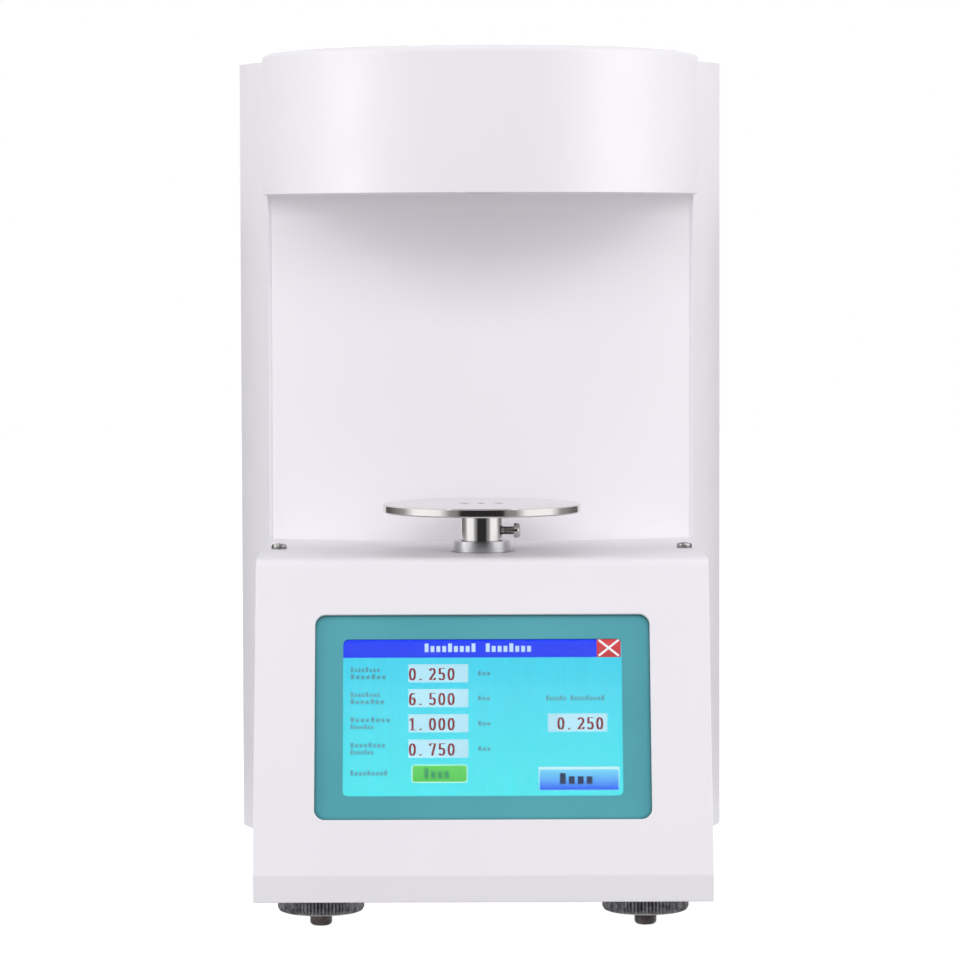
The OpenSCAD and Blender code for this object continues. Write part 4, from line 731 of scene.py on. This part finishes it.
def makeTitle(crossColour):
    p = picture
    t = litTones
    bm = startPlates()
    plate(bm, 0, 1, 0, 1, 0, p["corner"])
    field = litColour("litField", t["fieldHigh"], t["fieldLow"], backlight["fieldStreaks"])
    screenPiece(bm, "litField", [field])

    bm = startPlates()
    plate(bm, *p["titleBox"], 1)
    screenPiece(bm, "titleBar", [litColour("litTitle", t["titleFoot"], t["title"])])

    bm = startPlates()
    plate(bm, *p["closeBox"], 1, p["closeCorner"])
    screenPiece(bm, "closeBox", [litColour("litRed", t["redLow"], t["redHigh"])])

    bm = startPlates()
    fromU, toU, _, foot = p["closeBox"]
    u, v = (fromU + toU) / 2, foot / 2
    halfWide, halfTall = p["crossHalf"]
    for level, tilt in ((2, -p["crossTilt"]), (3, p["crossTilt"])):
        plate(bm, u - halfWide, u + halfWide, v - halfTall, v + halfTall, level, tilt=tilt)
    screenPiece(bm, "closeCross", [crossColour])

    bm = startPlates()
    for row in blocks["title"]:
        rowOfBlocks(bm, row, blocks["titleFoot"], blocks["titleTall"], 2)
    screenPiece(bm, "titleBlocks", [litColour("litTitleBlocks", t["titleWords"])])


def makeValues(boxColour, figureColour):
    p = picture
    half = p["boxDepth"] / 2
    bm = startPlates()
    for row in p["rows"]:
        plate(bm, p["boxFrom"], p["boxTo"], row - half, row + half, 1)
    plate(bm, *p["sideBox"], p["sideRow"] - half, p["sideRow"] + half, 1)
    screenPiece(bm, "valueBoxes", [boxColour])

    bm = bmesh.new()
    for row, value in zip(p["rows"], p["values"]):
        drawFigures(bm, value, p["boxFrom"] + p["valueIn"], row + p["valueDrop"], 2)
    drawFigures(bm, p["sideValue"], p["sideBox"][0] + p["sideValueIn"], p["sideRow"] + p["valueDrop"], 2)
    screenPiece(bm, "valueFigures", [figureColour])


def makeLabels(wordColour):
    # Labels on the left, units beside the boxes and the label on the right
    b = blocks
    bm = startPlates()
    for row, widths in zip(picture["rows"], b["labelWidths"]):
        for width, foot, count in zip(widths, b["labelFeet"], b["labelCounts"]):
            rowOfBlocks(bm, (b["labelFrom"], b["labelFrom"] + width, count), row + foot, b["labelTall"], 1)
        rowOfBlocks(bm, b["unit"], row + b["unitFoot"], b["unitTall"], 1)
    rowOfBlocks(bm, b["lastLabel"], b["lastFoot"], b["lastTall"], 1)
    for row in b["side"]:
        rowOfBlocks(bm, row, b["sideFoot"], b["sideTall"], 1)
    screenPiece(bm, "labelBlocks", [wordColour])


def makeKey(key, name, rimColour, faceColour):
    fromU, toU, row, depth = key["box"]
    side, top, foot = key["rim"]
    rimCorner, faceCorner = key["corners"]
    bm = startPlates()
    plate(bm, fromU, toU, row - depth / 2, row + depth / 2, 1, rimCorner)
    plate(bm, fromU + side, toU - side, row - depth / 2 + top, row + depth / 2 - foot, 2, faceCorner, 1)
    screenPiece(bm, name, [rimColour, faceColour])


def makeKeyBlocks(row, foot, tall, name, colour):
    bm = startPlates()
    rowOfBlocks(bm, row, foot, tall, 3)
    screenPiece(bm, name, [colour])


def makePicture():
    t = litTones
    b = blocks
    tones = {name: litColour("lit" + name.capitalize(), t[name])
             for name in ("pale", "digits", "cross", "words")}
    makeTitle(tones["cross"])
    makeValues(tones["pale"], tones["digits"])
    makeLabels(tones["words"])

    greenRim = litColour("litGreenRim", t["greenRim"])
    makeKey(switchKey, "switchKey", greenRim, litColour("litGreen", t["greenFoot"], t["green"]))
    greenWords = litColour("litGreenBlocks", t["greenWords"])
    makeKeyBlocks(b["switch"], b["switchFoot"], b["switchTall"], "switchBlocks", greenWords)

    blueRim = litColour("litKeyRim", t["keyRim"], t["keyHigh"])
    makeKey(saveKey, "saveKey", blueRim, litColour("litKey", t["keyLow"], t["keyRim"]))
    blueWords = litColour("litKeyBlocks", t["keyWords"])
    makeKeyBlocks(b["save"], b["saveFoot"], b["saveTall"], "saveBlocks", blueWords)


# Stands for the touch glass, thinner, so that the lit picture lies between it and the display
glassStyle = {"thick": 0.0006, "edge": 0.0001}


def makeGlass():
    p = glassStyle
    wide, tall, front = glassSpan[0], glassSpan[1], glassSpan[2][1]
    bm = bmesh.new()
    bmesh.ops.create_cube(bm, size=1)
    bmesh.ops.scale(bm, verts=bm.verts, vec=(wide[1] - wide[0], tall[1] - tall[0], p["thick"]))
    bmesh.ops.bevel(bm, geom=list(bm.edges), offset=p["edge"], offset_type="OFFSET", segments=2, profile=0.5,
                    affect="EDGES", material=-1)
    bmesh.ops.transform(bm, matrix=onSlant(front - p["thick"] / 2), verts=bm.verts)
    glass = pieceFrom(bm, "touchGlass", "root", [finishes["screen_glass"]])
    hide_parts("touch_glass")


makePicture()
makeGlass()
print("screen picture made")

# A bar and a ring, printed on the two faces of the power rocker
rockerMarks = {"size": 0.0036, "line": 0.0006, "thick": 0.00004, "lift": 0.00003, "ringSides": 36,
               "white": (0.78, 0.78, 0.76), "worn": 0.9, "wearScale": 1800, "rough": 0.5}


def printedWhite():
    p = rockerMarks
    mat, nodes, links, bsdf = newMaterial("printedWhite")
    wear = noise(nodes, links, objectPoint(nodes, links), p["wearScale"], 3)
    dull = [c * p["worn"] for c in p["white"]]
    links.new(blendColours(nodes, links, wear, dull, p["white"]), bsdf.inputs["Base Color"])
    bsdf.inputs["Roughness"].default_value = p["rough"]
    return mat


def makeRockerMarks():
    p = rockerMarks
    # the rocker's two tipped faces are its four largest triangles that look backwards
    mesh = cad["switch_rocker"].data
    faces = sorted((f for f in mesh.polygons if f.normal.y > 0.8), key=lambda f: -f.area)[:4]
    middleZ = sum(f.center.z for f in faces) / len(faces)
    bm = bmesh.new()
    for upper in (True, False):
        half = [f for f in faces if (f.center.z > middleZ) == upper]
        normal = half[0].normal.copy()
        centre = sum((f.center * f.area for f in half), Vector()) / sum(f.area for f in half)
        side = Vector((-1, 0, 0))
        one = bmesh.new()
        if upper:
            bmesh.ops.create_cube(one, size=1)
            bmesh.ops.scale(one, verts=one.verts, vec=(p["line"], p["size"], p["thick"]))
        else:
            outer = p["size"] / 2
            inner = outer - p["line"]
            section = [one.verts.new((radius, 0, height)) for radius, height in
                       ((outer, 0), (outer, p["thick"]), (inner, p["thick"]), (inner, 0))]
            lines = [one.edges.new((section[i - 1], section[i])) for i in range(4)]
            fullSpin(one, section + lines, p["ringSides"])
        turn = Matrix((side, normal.cross(side), normal)).transposed().to_4x4()
        turn.translation = centre + normal * p["lift"]
        bmesh.ops.transform(one, matrix=turn, verts=one.verts)
        moveInto(bm, one)
    pieceFrom(bm, "rockerMarks", "rocker", [printedWhite()])


makeRockerMarks()
print("rocker marks made")

# Seen straight, the floor is as light as floorWhite and the world as 1; what they shed on the object is
# floorGlow and fill
studio = {"floorSize": 8.0, "floorDrop": 0.0002, "floorWhite": 0.97, "floorGlow": 0.25, "floorShade": 0.20,
          "floorRough": 0.9, "floorGloss": 0.1, "fill": 0.25, "aim": (0, 0, 0.17)}
lamps = {
    "slantLight": {"place": (0.0, -1.9, 0.90), "wide": 1.6, "tall": 0.5, "power": 10.4, "mirrored": False},
    "frontLight": {"place": (0.0, -2.3, 0.45), "wide": 1.2, "tall": 0.8, "power": 5.9, "mirrored": False},
    "leftLight": {"place": (-1.5, -0.55, 0.6), "wide": 0.5, "tall": 1.2, "power": 12.3, "mirrored": True},
    "rightLight": {"place": (1.42, -0.45, 0.55), "wide": 0.9, "tall": 1.3, "power": 13.2, "mirrored": True},
    "topLight": {"place": (0.0, 0.1, 1.7), "wide": 1.2, "tall": 1.2, "power": 5.2, "mirrored": True},
    "backLight": {"place": (0.0, 1.8, 0.9), "wide": 1.2, "tall": 0.8, "power": 8.0, "mirrored": True},
}


def isSeen(nodes, links):
    # 1 for rays that look straight, by a mirror or through glass
    path = nodes.new("ShaderNodeLightPath")
    total = path.outputs["Is Camera Ray"]
    for name in ("Is Glossy Ray", "Is Transmission Ray"):
        add = nodes.new("ShaderNodeMath")
        add.operation = "MAXIMUM"
        links.new(total, add.inputs[0])
        links.new(path.outputs[name], add.inputs[1])
        total = add.outputs["Value"]
    return total


def makeWorld():
    world = bpy.data.worlds.new("studio")
    world.use_nodes = True
    nodes, links = world.node_tree.nodes, world.node_tree.links
    back = nodes["Background"]
    back.inputs["Color"].default_value = (1, 1, 1, 1)
    links.new(spread(nodes, links, isSeen(nodes, links), studio["fill"], 1.0, 0, 1), back.inputs["Strength"])
    bpy.context.scene.world = world


def makeFloor():
    bm = bmesh.new()
    bmesh.ops.create_grid(bm, x_segments=4, y_segments=4, size=studio["floorSize"] / 2)
    bmesh.ops.translate(bm, verts=bm.verts, vec=(0, 0, -studio["floorDrop"]))
    mesh = bpy.data.meshes.new("floor")
    bm.to_mesh(mesh)
    bm.free()
    floor = bpy.data.objects.new("floor", mesh)
    bpy.context.scene.collection.objects.link(floor)
    mat, nodes, links, bsdf = newMaterial("paleFloor")
    bsdf.inputs["Base Color"].default_value = (studio["floorShade"],) * 3 + (1,)
    bsdf.inputs["Roughness"].default_value = studio["floorRough"]
    bsdf.inputs["Specular IOR Level"].default_value = studio["floorGloss"]
    bsdf.inputs["Emission Color"].default_value = (1, 1, 1, 1)
    links.new(spread(nodes, links, isSeen(nodes, links), studio["floorGlow"], studio["floorWhite"], 0, 1),
              bsdf.inputs["Emission Strength"])
    mesh.materials.append(mat)


def makeLights():
    for name, lamp in lamps.items():
        light = bpy.data.lights.new(name, "AREA")
        light.shape = "RECTANGLE"
        light.size, light.size_y = lamp["wide"], lamp["tall"]
        light.energy = lamp["power"]
        obj = bpy.data.objects.new(name, light)
        bpy.context.scene.collection.objects.link(obj)
        obj.visible_camera = False
        obj.visible_glossy = lamp["mirrored"]
        obj.location = lamp["place"]
        towards = Vector(studio["aim"]) - Vector(lamp["place"])
        obj.rotation_euler = towards.to_track_quat("-Z", "Y").to_euler()


# A ring of white, grey and black card round the stage, seen only by mirror-like surfaces, whose streaks it
# makes. Each step is an angle in degrees from straight ahead, to the right, and how light the card is there.
cardRing = {"radius": 0.36, "height": 0.27, "lift": 0.001, "sides": 96,
            "steps": ((-90, 0.8), (-82, 1.2), (-48, 1.2), (-36, 0.35), (-26, 0.28), (-24, 0.03), (24, 0.03),
                      (26, 0.28), (38, 0.35), (50, 1.2), (84, 1.2), (100, 0.4), (130, 0.15), (230, 0.12),
                      (262, 0.4), (270, 0.8))}


def makeCardRing():
    p = cardRing
    bm = bmesh.new()
    foot = bmesh.ops.create_circle(bm, segments=p["sides"], radius=p["radius"])["verts"]
    growRing(bm, list({e for v in foot for e in v.link_edges}), 1, p["height"])
    bmesh.ops.translate(bm, verts=bm.verts, vec=(stageCentre.x, stageCentre.y, p["lift"]))
    mesh = bpy.data.meshes.new("cardRing")
    bm.to_mesh(mesh)
    bm.free()
    ring = bpy.data.objects.new("cardRing", mesh)
    bpy.context.scene.collection.objects.link(ring)
    mat, nodes, links, bsdf = newMaterial("cardRing")
    around = nodes.new("ShaderNodeTexGradient")
    around.gradient_type = "RADIAL"
    links.new(objectPoint(nodes, links, place=(stageCentre.x, stageCentre.y, 0)), around.inputs["Vector"])
    ramp = nodes.new("ShaderNodeValToRGB")
    stops = ramp.color_ramp.elements
    while len(stops) < len(p["steps"]):
        stops.new(1)
    for stop, (angle, shade) in zip(stops, p["steps"]):
        stop.position = (angle + 90) / 360
        stop.color = (shade, shade, shade, 1)
    links.new(around.outputs["Fac"], ramp.inputs["Fac"])
    links.new(ramp.outputs["Color"], bsdf.inputs["Emission Color"])
    bsdf.inputs["Emission Strength"].default_value = 1
    bsdf.inputs["Base Color"].default_value = (0, 0, 0, 1)
    bsdf.inputs["Specular IOR Level"].default_value = 0
    mesh.materials.append(mat)
    ring.visible_camera = False
    ring.visible_diffuse = False
    ring.visible_shadow = False
    ring.visible_transmission = False


# The eye stands 1.65 m in front of the lip, a little below the top of the head
view = {"eye": (-0.0044, -1.7963, 0.2579), "focal": 167.7, "sensor": 36, "near": 0.05, "far": 50,
        "pitch": 3.10, "yaw": -0.125, "roll": -0.17}


def makeCamera():
    v = view
    data = bpy.data.cameras.new("camera")
    data.sensor_width = v["sensor"]
    data.lens = v["focal"]
    data.clip_start, data.clip_end = v["near"], v["far"]
    cam = bpy.data.objects.new("camera", data)
    bpy.context.scene.collection.objects.link(cam)
    turn = (Matrix.Rotation(math.radians(v["yaw"]), 3, "Z") @
            Matrix.Rotation(math.radians(90 - v["pitch"]), 3, "X") @
            Matrix.Rotation(math.radians(v["roll"]), 3, "Z"))
    cam.rotation_euler = turn.to_euler()
    cam.location = v["eye"]
    bpy.context.scene.camera = cam


makeWorld()
makeFloor()
makeLights()
makeCardRing()
makeCamera()
bpy.context.scene.view_settings.view_transform = "Standard"
print("studio ready")
